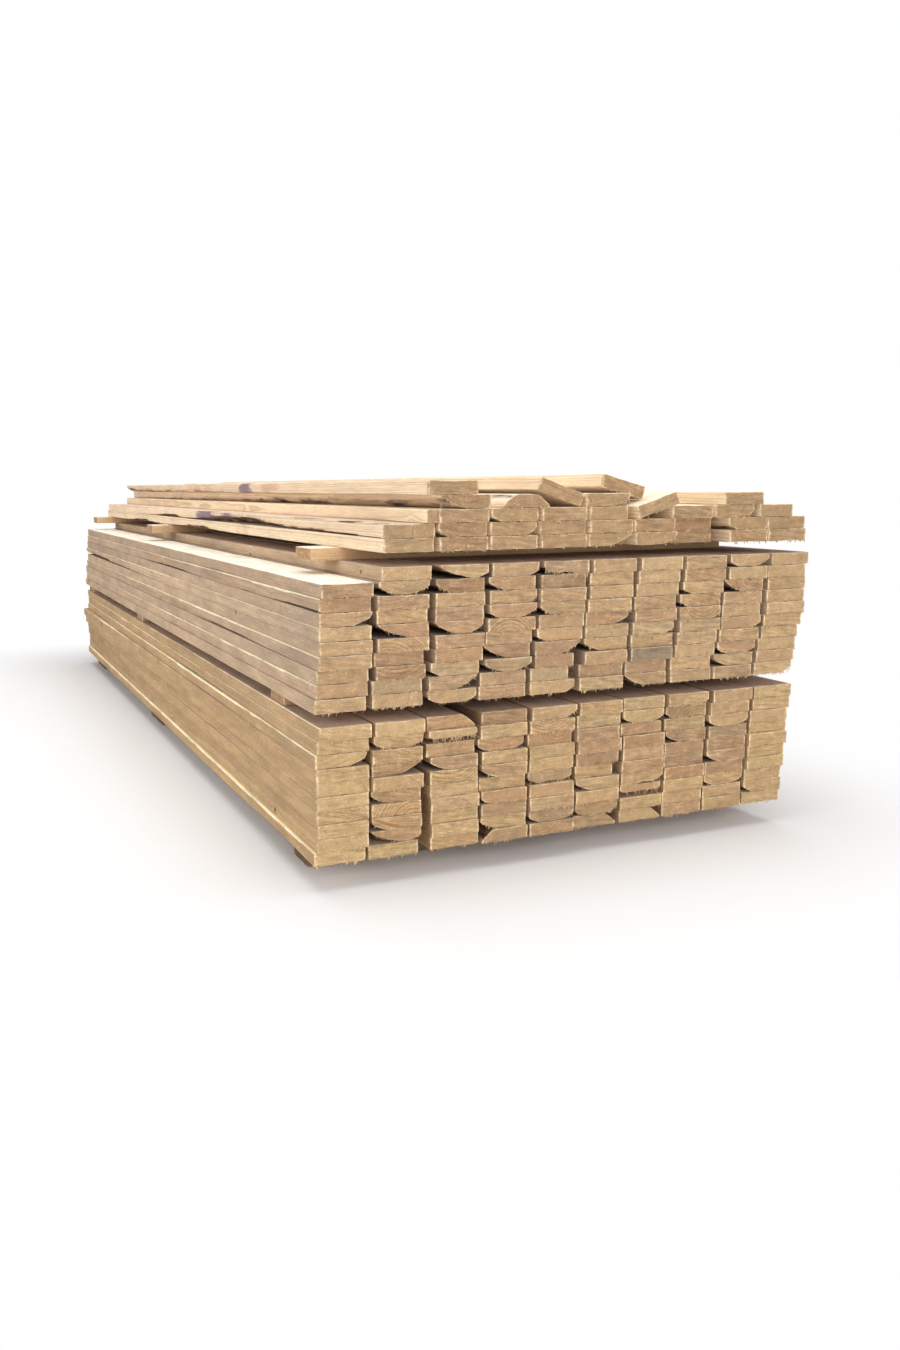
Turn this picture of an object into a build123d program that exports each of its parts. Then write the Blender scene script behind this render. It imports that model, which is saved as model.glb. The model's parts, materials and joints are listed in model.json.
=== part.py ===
from build123d import *
import math
import os
import random

os.makedirs("parts", exist_ok=True)

# A stack of rough-sawn softwood boards, in millimetres.
# X runs across the stack, Y along the boards from the near ends to the far ends, Z is up.
# Two full packs of boards lie on cross timbers, and a loose heap of boards lies on top.

# Driving sizes of one board
board_length = 6050
board_width = 200
board_thickness = 50

# How many boards stand side by side and lie on each other in a full pack
columns = 10
layers = 10

# Cross timbers under the stack, and sticker boards between the packs
bearer_width = 180
bearer_height = 100
bearer_inset = 55
sticker_width = 190
sticker_thickness = 48
sticker_inset = 25
sticker_overhang = 117

# Gaps between neighbouring boards, which close up where a pack is pressed together
lower_gap_bottom = 3
lower_gap_top = 9
middle_gap_bottom = 10.2
middle_gap_top = 12.4
loose_gap = 8

# How unevenly such boards are sawn and laid
width_scatter = 7
near_end_scatter = 11
far_end_scatter = 48
least_gap = 1.5
narrow_board_loss = 27
strip_width = 44

# Places of the cross timbers: the near ones from the near ends of the boards to their near edges,
# the middle ones beyond the middle of the boards, and the far ones back from the far ends
bearer_near_start = 300
bearer_past_middle = 195
bearer_before_end = 410
sticker_near_start = 450
sticker_past_middle = 525
sticker_before_end = 200

# How far each layer of a pack sits to the right of the lowest true layer, from the bottom up
lower_shifts = [-14, 0, 0, 1, 0, 1, 0, 0, 8, 9]
middle_shifts = [0, 1, 11, 12, 21, 22, 19, 22, 33, 40]

# How far the boards from one column on have slid to the right, again from the bottom up
slid_place = 3
lower_slides = [44, 28, 26, 22, 18, 17, 18, 6, 0, 0]
middle_slides = [0, 5, 5, 10, 10, 8, 10, 14, 8, 8]

# The loose heap: its left edge, its slant over the length of a board, and its seat clearance
loose_left = 267
loose_slant = 65
seat_clearance = 0.3

# Places in the loose heap, counted from 1, that are set back, left open or pushed aside
recessed_place = 7
recessed_end = 62
pushed_aside = 30
open_place = 6
closed_up = 32

# How far single loose boards lie from their places, and how the leaning ones stand
cream_board_shift = 12
crowned_board_shift = 45
propped_board_shift = -9
top_board_shift = -42
leaning_foot_gap = 26
perch = 88
perched_set_back = 70

# Crooked boards bend out of the left side of the lower pack towards the far end
crook = 26
crooked_layers = [6, 7]

# Wane: the round of the log that is left on an edge of a board, as its width and height
wane_small = (38, 18)
wane_middling = (60, 27)
wane_large = (80, 42)
wane_widest = (112, 43)
wane_both_small = (46, 20)
wane_both_large = (80, 28)
wane_top = (46, 40)
log_radius = 290
log_taper = 0.006
far_wane_share = 0.12

# Underside that broke away when a board was cut to length, deepest at its near end
torn_depth = 21
torn_length = 300

# Wane of the near ends, one letter for each column, with the lowest layer first.
# l and r are small wanes at the lower left and lower right, h and k middling ones, L and R
# large ones and X the widest, at the left. b and B are wanes on both lower edges, v a small
# left and a middling right one, w the widest left and a small right one, y a large left and
# a middling right one. u and o are at the upper edges, t at both. c is a torn underside,
# n a board that is narrower at its right, and a dot is a square edge.
lower_wane = [
    "...u.oo...",
    ".w.hbb...l",
    ".h....c.b.",
    "...l.hk...",
    ".h..bn..h.",
    "...h......",
    ".Rh....h..",
    "k..b....b.",
    ".bc...bl..",
    "..o.k..r..",
]
middle_wane = [
    "..b.r.L..r",
    "..R.n...h.",
    "..lBn...b.",
    "...LRh....",
    "....l.r.r.",
    ".Xy..k.r..",
    "k..vh..l..",
    "...r...lL.",
    ".Bhh......",
    "..wrh...v.",
]
loose_wane = [
    "....Rk...",
    ".lr....l.",
    "..l.n..rn",
]

board_step = board_width + loose_gap
lower_base = bearer_height
middle_base = lower_base + layers * board_thickness + sticker_thickness
loose_base = middle_base + layers * board_thickness + sticker_thickness
stack_width = columns * (board_width + lower_gap_top)
bearer_middle_start = board_length / 2 + bearer_past_middle
bearer_far_start = board_length - bearer_before_end
sticker_middle_start = board_length / 2 + sticker_past_middle
sticker_far_start = board_length - sticker_before_end

rng = random.Random(12)
nodes = {}


def log_core(centre_x, centre_z, radius, y_near, length, thin_end_near):
    """Return the tapering log, as a cone whose axis runs along the board."""
    grown = radius + log_taper * length
    near_radius = radius if thin_end_near else grown
    far_radius = grown if thin_end_near else radius
    start = Plane(origin=(centre_x, y_near, centre_z), z_dir=(0, 1, 0))
    return Solid.make_cone(near_radius, far_radius, length, start)


def edge_core(box, across, up, right, top, thin_end_near):
    """Return the log that leaves a wane of the given size on one edge of the board."""
    chord = math.hypot(across, up)
    reach = math.sqrt(log_radius ** 2 - (chord / 2) ** 2)
    inward_x = across / 2 + reach * up / chord
    inward_z = up / 2 + reach * across / chord
    centre_x = box.max.X - inward_x if right else box.min.X + inward_x
    centre_z = box.max.Z - inward_z if top else box.min.Z + inward_z
    return log_core(centre_x, centre_z, log_radius, box.min.Y, box.size.Y, thin_end_near)


def lens_core(box, across, up, thin_end_near):
    """Return the log that leaves a wane on both lower edges of the board."""
    height = (up ** 2 + box.size.X * across - across ** 2) / (2 * up)
    radius = math.hypot(box.size.X / 2 - across, height)
    centre_x = box.min.X + box.size.X / 2
    return log_core(centre_x, box.min.Z + height, radius, box.min.Y, box.size.Y, thin_end_near)


def wane_cores(box, letter, thin_end_near):
    """Return the logs that the letter of a wane map asks for."""
    cores = []
    for size, left_letters, right_letters in (
        (wane_small, "lv", "rw"),
        (wane_middling, "h", "kvy"),
        (wane_large, "Ly", "R"),
        (wane_widest, "Xw", ""),
    ):
        if letter in left_letters:
            cores.append(edge_core(box, *size, False, False, thin_end_near))
        if letter in right_letters:
            cores.append(edge_core(box, *size, True, False, thin_end_near))
    if letter in "ut":
        cores.append(edge_core(box, *wane_top, False, True, thin_end_near))
    if letter in "ot":
        cores.append(edge_core(box, *wane_top, True, True, thin_end_near))
    if letter == "b":
        cores.append(lens_core(box, *wane_both_small, thin_end_near))
    if letter == "B":
        cores.append(lens_core(box, *wane_both_large, thin_end_near))
    return cores


def torn_wedge(box):
    """Return the wedge that broke away from under the near end, a little larger all round."""
    slope = torn_depth / torn_length
    spare = least_gap
    low = box.min.Z - spare * slope
    start = box.min.Y - spare
    side = [
        Vector(box.min.X - spare, start, low),
        Vector(box.min.X - spare, box.min.Y + torn_length + spare, low),
        Vector(box.min.X - spare, start, box.min.Z + torn_depth + spare * slope),
    ]
    return Solid.extrude(Face(Wire.make_polygon(side)), Vector(box.size.X + 2 * spare, 0, 0))


def sawn_board(x, y, z, width, length, near_letter=".", far_letter="."):
    """Return one board as sawn: a long box, less what lies outside the log it was cut from."""
    board = Solid.make_box(width, length, board_thickness, Plane(origin=(x, y, z)))
    box = board.bounding_box()
    cores = wane_cores(box, near_letter, True) + wane_cores(box, far_letter, False)
    for core in cores:
        board = (board & core).solids()[0]
    if near_letter == "c":
        board = (board - torn_wedge(box)).solids()[0]
    return board


def board_ends(recessed=False):
    """Return where a board starts and how long it is, with the scatter of a real pack."""
    near = rng.uniform(-near_end_scatter, near_end_scatter)
    if recessed:
        near += recessed_end
    far = board_length + rng.uniform(-far_end_scatter, far_end_scatter)
    return near, far - near


def far_wane():
    """Return a wane letter for the far end, where the photographed side says nothing."""
    if rng.random() > far_wane_share:
        return "."
    return rng.choice("lrhkLRbB")


def board_row(left, step, base, letters, skipped=(), recessed=None, moved=(), moved_by=0):
    """Return the boards of one layer, side by side with a gap between them.

    One place may be set back from the front, and the boards in some places may be moved
    sideways. A board that would touch the one before it lies close beside it instead.
    """
    boards = []
    taken = left - least_gap
    for place, letter in enumerate(letters, 1):
        width = board_width - rng.uniform(0, width_scatter)
        if letter == "n":
            width -= narrow_board_loss
        spare = step - least_gap - width
        lead = rng.uniform(0, min(spare, step - board_width))
        near, length = board_ends(place == recessed)
        rear = far_wane()
        if place in skipped:
            continue
        x = left + (place - 1) * step + lead
        if place in moved:
            x += moved_by
        x = max(x, taken + least_gap)
        taken = x + width
        boards.append(sawn_board(x, near, base, width, length, letter, rear))
    return boards


def crooked(board):
    """Swing a board about its near end so that its far end stands out of the side."""
    box = board.bounding_box()
    pivot = Axis((box.min.X, box.min.Y, 0), (0, 0, 1))
    return board.rotate(pivot, math.degrees(math.asin(crook / board_length)))


def full_pack(name, base, wane_rows, shifts, slides, gap_bottom, gap_top, missing):
    """Add a full pack to the nodes, one node for each layer."""
    slid = range(slid_place, columns + 1)
    for level in range(layers):
        share = level / max(layers - 1, 1)
        step = board_width + gap_bottom + (gap_top - gap_bottom) * share
        letters = wane_rows[level % len(wane_rows)][:columns].ljust(columns, ".")
        shift = shifts[level % len(shifts)]
        slide = slides[level % len(slides)]
        skipped = missing if level == layers - 1 else ()
        row = board_row(shift, step, base + level * board_thickness, letters, skipped, None, slid, slide)
        if name == "lower" and level + 1 in crooked_layers:
            row[0] = crooked(row[0])
        nodes[f"{name}_layer_{level + 1:02d}"] = row


def cross_board(x, y, z, length, width, thickness):
    """Return a timber that lies across the boards."""
    return Solid.make_box(length, width, thickness, Plane(origin=(x, y, z)))


def slanted(solid):
    """Turn a piece of the loose heap with the heap, about its near left corner."""
    pivot = Axis((loose_left, 0, 0), (0, 0, 1))
    return solid.rotate(pivot, math.degrees(math.asin(loose_slant / board_length)))


def bearer(y):
    """Return one bearer under the stack."""
    length = stack_width - 2 * bearer_inset
    return cross_board(bearer_inset, y, 0, length, bearer_width, bearer_height)


def lower_sticker(y):
    """Return one sticker board between the two packs, set in from the sides."""
    length = stack_width - 2 * sticker_inset
    underside = middle_base - sticker_thickness
    return cross_board(sticker_inset, y, underside, length, sticker_width, sticker_thickness)


def upper_sticker(y):
    """Return one sticker board under the loose heap, standing out past its left side."""
    start = loose_left - sticker_overhang
    length = stack_width - sticker_inset - start
    underside = loose_base - sticker_thickness
    return slanted(cross_board(start, y, underside, length, sticker_width, sticker_thickness))


def foot_beside(wall_x, rest, side):
    """Return where a leaning board's lower edge stands, when its upper corner just clears a wall.

    The side is 1 where the board stands to the right of the wall and -1 where it stands to the left.
    The tilt and the place depend on each other, so they are worked out in turns.
    """
    foot_x = wall_x
    for _ in range(12):
        tilt = math.atan2(board_thickness, abs(rest[0] - foot_x))
        foot_x = wall_x + side * (least_gap + board_thickness * math.sin(tilt))
    return foot_x


def leaning_board(foot, rest, width, foot_is_left, y):
    """Return a board whose lower edge stands on foot and whose underside leans over rest.

    Both are points (x, z) in a section across the heap. The board keeps a small clearance
    to both, square to its underside.
    """
    run = rest[0] - foot[0]
    rise = rest[1] - foot[1]
    tilt = math.degrees(math.atan2(rise, abs(run)))
    start_x = foot[0] if foot_is_left else foot[0] - width
    board = sawn_board(start_x, y, foot[1], width, board_length - y)
    turned = board.rotate(Axis((foot[0], 0, foot[1]), (0, 1, 0)), -tilt if foot_is_left else tilt)
    lift = seat_clearance / math.cos(math.radians(tilt))
    return turned.moved(Location((0, 0, lift)))


def loose_x(place):
    """Return the left edge of a place in the loose heap, counted from 1."""
    return loose_left + (place - 1) * board_step


def loose_z(row):
    """Return the underside of a row of the loose heap, counted from 1."""
    return loose_base + (row - 1) * board_thickness


def loose_board(place, row, letter=".", shift=0):
    """Return one board of the loose heap."""
    near, length = board_ends()
    left = loose_x(place) + shift
    return sawn_board(left, near, loose_z(row), board_width, length, letter, far_wane())


# Bearers, the middle and the far ones as pairs
bearer_step = bearer_width + least_gap
nodes["bearer_near"] = [bearer(bearer_near_start)]
nodes["bearer_middle"] = [bearer(bearer_middle_start), bearer(bearer_middle_start + bearer_step)]
nodes["bearer_far"] = [bearer(bearer_far_start), bearer(bearer_far_start + bearer_step)]

# Lower pack, stickers, middle pack, which has no top board in its first column
full_pack("lower", lower_base, lower_wane, lower_shifts, lower_slides,
          lower_gap_bottom, lower_gap_top, ())
nodes["lower_gap_stickers"] = [
    lower_sticker(sticker_near_start),
    lower_sticker(sticker_middle_start),
    lower_sticker(sticker_far_start),
]
full_pack("middle", middle_base, middle_wane, middle_shifts, middle_slides,
          middle_gap_bottom, middle_gap_top, (1,))
nodes["upper_gap_stickers"] = [
    upper_sticker(sticker_near_start),
    upper_sticker(sticker_middle_start),
    upper_sticker(sticker_far_start),
]

# Loose heap, two full rows and a third with an open place, where a board leans
loose_places = columns - 1
loose_rows = []
for level in range(2):
    letters = loose_wane[level][:loose_places].ljust(loose_places, ".")
    loose_rows.append(board_row(loose_left, board_step, loose_z(level + 1), letters, (),
                                recessed_place, (recessed_place + 1,), pushed_aside))
nodes["loose_row_1"] = [slanted(board) for board in loose_rows[0]]
nodes["loose_row_2"] = [slanted(board) for board in loose_rows[1]]

third_letters = loose_wane[2][:loose_places].ljust(loose_places, ".")
third_row = board_row(loose_left, board_step, loose_z(3), third_letters, (1, open_place),
                      None, range(open_place + 1, loose_places + 1), -closed_up)
strip_near, strip_length = board_ends()
strip_x = loose_x(2) - strip_width - least_gap
strip = sawn_board(strip_x, strip_near, loose_z(3), strip_width, strip_length)
nodes["loose_row_3"] = [slanted(board) for board in [strip] + third_row]

# Fourth row: four boards with room between them, the second with its bark side up
crowned_board = loose_board(3, 4, "t", crowned_board_shift)
propped_board = loose_board(5, 4, "k", propped_board_shift)
fourth_row = [
    loose_board(2, 4, "L", cream_board_shift),
    crowned_board,
    propped_board,
    loose_board(8, 4),
]
nodes["loose_row_4"] = [slanted(board) for board in fourth_row]
nodes["loose_board_top"] = [slanted(loose_board(2, 5, ".", top_board_shift))]

# Leaning boards, each with one edge down and its underside over a neighbour's edge
before_open = third_row[3].bounding_box().max.X + leaning_foot_gap
next_edge = (third_row[4].bounding_box().min.X, loose_z(4))
open_foot = (foot_beside(before_open, next_edge, 1), loose_z(3))
leaning = leaning_board(open_foot, next_edge, board_width, True, -near_end_scatter)
nodes["loose_board_leaning"] = [slanted(leaning)]

crown_edge = (crowned_board.bounding_box().max.X, loose_z(5))
crown_foot = (foot_beside(propped_board.bounding_box().min.X, crown_edge, -1), loose_z(4))
tilted_left = leaning_board(crown_foot, crown_edge, board_width, False, near_end_scatter)
nodes["loose_board_tilted_left"] = [slanted(tilted_left)]

lean_tilt = math.atan2(next_edge[1] - open_foot[1], next_edge[0] - open_foot[0])
lean_top_x = open_foot[0] - board_thickness * math.sin(lean_tilt)
lean_top_z = open_foot[1] + board_thickness * math.cos(lean_tilt)
perch_x = lean_top_x + perch * math.cos(lean_tilt)
perch_z = lean_top_z + perch * math.sin(lean_tilt) + seat_clearance
perch_foot = (perch_x, perch_z)
perch_edge = (propped_board.bounding_box().max.X, loose_z(5))
tilted_right = leaning_board(perch_foot, perch_edge, board_width, False, perched_set_back)
nodes["loose_board_tilted_right"] = [slanted(tilted_right)]

# Origin at the middle of the footprint, on the floor
everything = Compound([solid for solids in nodes.values() for solid in solids])
bounds = everything.bounding_box()
to_origin = Location((-bounds.center().X, -bounds.center().Y, -bounds.min.Z))

for name, solids in nodes.items():
    export_step(Compound([solid.moved(to_origin) for solid in solids]), f"parts/{name}.step")
print("boards", sum(len(solids) for solids in nodes.values()), "nodes", len(nodes))
print("size", [round(v, 1) for v in (bounds.size.X, bounds.size.Y, bounds.size.Z)])
print("moved by", [round(v, 1) for v in (-bounds.center().X, -bounds.center().Y, -bounds.min.Z)])
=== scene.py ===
# %% [markdown]
# A stack of sawn boards
# The object is a stack of rough-sawn softwood boards on cross timbers: two full packs with
# sticker boards between them, and a loose heap on top. The frame holds every board as a plain
# solid at its real size. This lesson gives each board the skin that a saw leaves: worn arrises,
# ragged ends, growth rings, knots, wane and weather, with painted light and shade on some faces.

# %% Load the frame
import json
import math

import bpy
import numpy as np
from mathutils import Matrix, Vector


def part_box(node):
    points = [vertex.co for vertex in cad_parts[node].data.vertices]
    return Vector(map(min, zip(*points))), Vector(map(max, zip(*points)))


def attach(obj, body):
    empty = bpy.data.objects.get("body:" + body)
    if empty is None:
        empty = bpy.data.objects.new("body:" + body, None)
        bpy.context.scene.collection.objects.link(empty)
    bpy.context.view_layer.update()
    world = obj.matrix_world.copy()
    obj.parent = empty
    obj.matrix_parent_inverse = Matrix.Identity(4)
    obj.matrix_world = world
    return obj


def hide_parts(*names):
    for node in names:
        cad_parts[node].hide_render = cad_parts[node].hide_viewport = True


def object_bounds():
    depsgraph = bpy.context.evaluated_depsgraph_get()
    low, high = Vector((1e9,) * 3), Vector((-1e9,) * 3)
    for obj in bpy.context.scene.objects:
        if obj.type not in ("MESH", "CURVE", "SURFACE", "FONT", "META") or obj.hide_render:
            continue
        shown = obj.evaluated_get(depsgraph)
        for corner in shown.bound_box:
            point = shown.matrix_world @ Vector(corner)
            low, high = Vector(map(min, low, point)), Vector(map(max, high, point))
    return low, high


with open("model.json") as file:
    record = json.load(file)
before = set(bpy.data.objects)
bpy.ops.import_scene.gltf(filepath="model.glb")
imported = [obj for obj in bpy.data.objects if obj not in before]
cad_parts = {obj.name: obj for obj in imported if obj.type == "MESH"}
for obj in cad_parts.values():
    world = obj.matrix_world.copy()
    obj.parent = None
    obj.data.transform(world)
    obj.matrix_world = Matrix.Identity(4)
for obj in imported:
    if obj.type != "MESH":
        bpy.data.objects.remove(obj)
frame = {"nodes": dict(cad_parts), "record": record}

cad_box = [list(map(float, corner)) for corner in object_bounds()]
slot_of = {part["node"]: part["material_slot"] for part in frame["record"]["subparts"]}
print("nodes", len(slot_of), "box", cad_box)

# %% [markdown]
# The camera
# A stack this long is seen in strong perspective, so the view only matches when the eye stands
# where it really stood. The place is given from the near lower left corner of the lower pack,
# which lies a little behind the end that stands out furthest, and the turn as the three angles
# that a tripod head has: azimuth, pitch and roll.

# %% Place the camera
EYE_FROM_CORNER = Vector((-1.1773, -3.718, 1.3253))
EYE_AZIMUTH = math.radians(24.48)
EYE_PITCH = math.radians(9.37)
EYE_ROLL = math.radians(0.33)
LENS_MM = 30.52
FILM_MM = 36.0
VIEW_REACH = 200.0
END_LEAD = 0.010

pack_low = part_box("lower_layer_02")[0]
bearer_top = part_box("bearer_near")[1].z
corner = Vector((pack_low.x, pack_low.y + END_LEAD, bearer_top))
forward = Vector((math.sin(EYE_AZIMUTH) * math.cos(EYE_PITCH),
                  math.cos(EYE_AZIMUTH) * math.cos(EYE_PITCH), -math.sin(EYE_PITCH)))
level_right = Vector((math.cos(EYE_AZIMUTH), -math.sin(EYE_AZIMUTH), 0.0))
level_down = forward.cross(level_right)
right = math.cos(EYE_ROLL) * level_right + math.sin(EYE_ROLL) * level_down
up = math.sin(EYE_ROLL) * level_right - math.cos(EYE_ROLL) * level_down

camera_data = bpy.data.cameras.new("camera")
camera_data.lens = LENS_MM
camera_data.sensor_width = FILM_MM
camera_data.clip_end = VIEW_REACH
camera = bpy.data.objects.new("camera", camera_data)
camera.matrix_world = Matrix.Translation(corner + EYE_FROM_CORNER) @ Matrix(
    (right, up, -forward)).transposed().to_4x4()
bpy.context.scene.collection.objects.link(camera)
bpy.context.scene.camera = camera
bpy.context.scene.view_settings.view_transform = "Standard"
print("eye at", [round(v, 3) for v in corner + EYE_FROM_CORNER])

# %% [markdown]
# Reading the boards
# A node holds up to ten boards as loose triangles. To give each board its own skin, the boards
# must be told apart. Corners at one place are first made one corner. Then every corner takes the
# lowest number found in its triangles, again and again, until each board carries one number.
# This is done on whole arrays, so 244 boards take a moment.

# %% Tell the boards of a node apart
MERGE_GRID = 2e-5


def node_triangles(name):
    """Return the corner places of a CAD node's triangles, as an array of triangle, corner, axis."""
    mesh = frame["nodes"][name].data
    mesh.calc_loop_triangles()
    places = np.empty(len(mesh.vertices) * 3)
    mesh.vertices.foreach_get("co", places)
    numbers = np.empty(len(mesh.loop_triangles) * 3, np.int32)
    mesh.loop_triangles.foreach_get("vertices", numbers)
    return places.reshape(-1, 3)[numbers.reshape(-1, 3)]


def split_boards(triangles):
    """Return the triangles of each board: corners joined by triangles share their lowest number."""
    keys = np.round(triangles.reshape(-1, 3) / MERGE_GRID).astype(np.int64)
    _, numbers = np.unique(keys, axis=0, return_inverse=True)
    numbers = numbers.reshape(-1, 3)
    label = np.arange(numbers.max() + 1)
    while True:
        lowest = label[numbers].min(axis=1)
        spread = label.copy()
        np.minimum.at(spread, numbers.ravel(), np.repeat(lowest, 3))
        if (spread == label).all():
            break
        label = spread
    board_number = label[numbers[:, 0]]
    boards = [triangles[board_number == n] for n in np.unique(board_number)]
    return sorted(boards, key=lambda b: b[:, :, 0].min())


boards_of = {name: split_boards(node_triangles(name)) for name in slot_of}
print("boards", sum(len(b) for b in boards_of.values()))

# %% [markdown]
# The frame of one board
# Each board is convex, so it is fully told by the planes of its faces. The pair of planes that
# lie furthest apart are the ends, so their normal is the board's axis, and the largest of the
# others is a wide face. The planes are turned into the board's own directions: across, along
# and up. Cross timbers and sticker boards run across the stack, and the same rule finds that.


# %% Find the planes and directions of a board
CROSSING = 6e-4
LEAST_AREA = 1e-8
SAME_DIRECTION, SAME_OFFSET = 0.99999, 3e-4
SIDE_LEAN = 0.5


def board_planes(triangles):
    """Return a board's planes, as outward normals, offsets and areas, each plane once.

    A normal is the cross product of two edges, and an offset is the normal times a corner. A
    sliver of a triangle may point anywhere, so a plane that the board's corners cross is left out.
    """
    cross = np.cross(triangles[:, 1] - triangles[:, 0], triangles[:, 2] - triangles[:, 0])
    area = np.linalg.norm(cross, axis=1) / 2
    order = np.argsort(-area)[:(area > LEAST_AREA).sum()]
    area = area[order]
    normal = cross[order] / (2 * area[:, None])
    offset = (normal * triangles[order, 0]).sum(axis=1)
    outside = (triangles.reshape(-1, 3) @ normal.T).max(axis=0) - offset
    sound = outside < CROSSING
    normal, offset, area = normal[sound], offset[sound], area[sound]
    alike = (normal @ normal.T > SAME_DIRECTION) & (np.abs(offset[:, None] - offset) < SAME_OFFSET)
    first = alike.argmax(axis=1)
    keep = np.unique(first)
    return normal[keep], offset[keep], np.array([area[first == k].sum() for k in keep])


def board_frame(triangles):
    """Return a board's directions, its planes in them, and its lowest and highest local corners."""
    normal, offset, area = board_planes(triangles)
    along = normal[np.ptp(triangles.reshape(-1, 3) @ normal.T, axis=0).argmax()]
    along = along if along.sum() > 0 else -along
    side = np.abs(normal @ along) < SIDE_LEAN
    upward = normal[np.where(side, area, 0).argmax()]
    upward = upward if upward[2] > 0 else -upward
    upward = upward - along * (upward @ along)
    upward /= np.linalg.norm(upward)
    across = np.cross(along, upward)
    turn = np.array([across, along, upward])
    local = triangles.reshape(-1, 3) @ turn.T
    return {"turn": turn, "normal": normal[side] @ turn.T, "offset": offset[side],
            "low": local.min(axis=0), "high": local.max(axis=0)}


frames_of = {name: [board_frame(b) for b in boards] for name, boards in boards_of.items()}
for name in ("lower_layer_01", "loose_board_leaning"):
    first = frames_of[name][0]
    print(name, "size", np.round(first["high"] - first["low"], 4), "planes", len(first["offset"]))

# %% [markdown]
# The skin of a board
# A saw leaves flat faces, but no arris stays sharp and no edge runs quite straight. The skin is
# a closed grid around the board. Its columns are directions around the section, close together
# at the arrises. Its rows run from a pole in the near end, over the rim and along the board to a
# pole in the far end. A point lies where its direction first meets one of the face planes. The
# least of the distances is taken softly, which rounds the arris, and waves and chips are only
# ever taken away, so that no board grows into its neighbour.
# Only the boards at the outside show their long faces. They get stations close together, and a
# board inside the stack, which shows only its ends, gets a few. The near end is finer than the
# far one, because the view comes from there.

# %% Directions around a section and stations along a board
ARRIS_STEPS = np.array([0.0, 0.0016, 0.0042, 0.009])
NEAR_RINGS = np.array([0.3, 0.62, 0.85, 0.95, 0.985])
FAR_RINGS = np.array([0.5, 0.9, 0.985])
END_STATIONS = np.array([0.0012, 0.006, 0.022])
END_ROOM = 0.03
EDGE_PITCH = 0.7


def side_steps(length, pitch):
    """Return places along one side of a section: close at both arrises, evenly spread between."""
    inner = length - 2 * ARRIS_STEPS[-1]
    count = max(int(round(inner / pitch)), 1)
    middle = ARRIS_STEPS[-1] + inner * np.arange(1, count) / count
    return np.concatenate([ARRIS_STEPS, middle, length - ARRIS_STEPS[:0:-1]])


def section_angles(width, thickness, pitch):
    """Return the directions around a section, as the angles of points on its outline."""
    wide = side_steps(width, pitch)
    thin = side_steps(thickness, pitch * EDGE_PITCH)
    half_w, half_t = width / 2, thickness / 2
    right_x, top_z = np.full(len(thin), half_w), np.full(len(wide), half_t)
    x = np.concatenate([wide - half_w, right_x, half_w - wide, -right_x])
    z = np.concatenate([-top_z, thin - half_t, top_z, half_t - thin])
    return np.arctan2(z, x)


def stations(length, first_step, growth):
    """Return places along a board, whose steps start small at the near end and grow evenly."""
    count = int(math.log(1 + growth * length / first_step) / growth)
    even = np.arange(1, count) / count
    middle = first_step / growth * ((1 + growth * length / first_step) ** even - 1)
    middle = middle[(middle > END_ROOM) & (middle < length - END_ROOM)]
    return np.concatenate([END_STATIONS, middle, length - END_STATIONS[::-1]])


print("points along a 200 mm side, 20 mm apart", len(side_steps(0.2, 0.02)))

# %% Choose how fine a board is
SHOWN = {"pitch": 0.030, "first_step": 0.025, "growth": 0.045, "roughness": 1.0}
HIDDEN = {"pitch": 0.015, "first_step": 0.12, "growth": 0.9, "roughness": 0.45}
QUIET = {"roughness": 0.3}
LOOSE_BARK, PACK_BARK = 0.45, 0.85

board = frames_of["lower_layer_01"][0]
width, length, thickness = board["high"] - board["low"]
for title, fineness in (("shown", SHOWN), ("hidden", HIDDEN)):
    print(title, "columns", len(section_angles(width, thickness, fineness["pitch"])),
          "stations", len(stations(length, fineness["first_step"], fineness["growth"])))

# %% [markdown]
# Waves, worn arrises and chips
# All unevenness is a sum of sine waves with random phases, or a few bell-shaped dents. Both are
# formulas of the place around and along the board, so one call gives them for the whole grid.


# %% Unevenness over the grid
DENT_RUN = (0.08, 0.4)
DENT_REACH = (0.03, 0.08)


def waves(rng, along, around, lengths, heights):
    """Return a sum of waves from 0 to their height: each is (1 + cos(2 pi s / length + phase)) / 2.

    The phase also turns with the direction around the board, so each face waves by itself.
    """
    total = np.zeros(np.broadcast(along, around).shape)
    for wave_length, height in zip(lengths, heights):
        phase, drift = rng.uniform(0, 2 * np.pi, 2)
        turns = rng.integers(1, 3)
        angle = 2 * np.pi * along / wave_length + phase + np.sin(turns * around + drift) * 2
        total += height * (1 + np.cos(angle)) / 2
    return total


def dents(rng, along, around, arrises, count, depth):
    """Return bell-shaped chips out of the arrises: depth times exp(-(s/a)^2 - (angle/b)^2)."""
    total = np.zeros(np.broadcast(along, around).shape)
    length = along.max()
    for _ in range(count):
        place = rng.uniform(0, length)
        corner_angle = arrises[rng.integers(len(arrises))]
        run = rng.uniform(*DENT_RUN)
        reach = rng.uniform(*DENT_REACH)
        turn = np.angle(np.exp(1j * (around - corner_angle)))
        bell = np.exp(-((along - place) / run) ** 2 - (turn / reach) ** 2)
        total += rng.uniform(0.3, 1) * depth * bell
    return total


def bells(along, shapes):
    """Return a sum of bells along a board, each given by its place, run and height."""
    total = np.zeros(along.shape)
    for place, run, height in shapes:
        total += height * np.exp(-((along - place) / run) ** 2)
    return total


def soft_least(distances, softness):
    """Return the least distance, rounded where two are close: -s log(sum exp(-d / s))."""
    least = distances.min(axis=2)
    extra = np.exp(-(distances - least[:, :, None]) / softness[:, :, None]).sum(axis=2)
    return least - softness * np.log(extra)


print("tops of two bells", bells(np.array([1.0, 3.0]), ((1.0, 0.3, 0.01), (3.0, 0.3, 0.02))))

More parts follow.
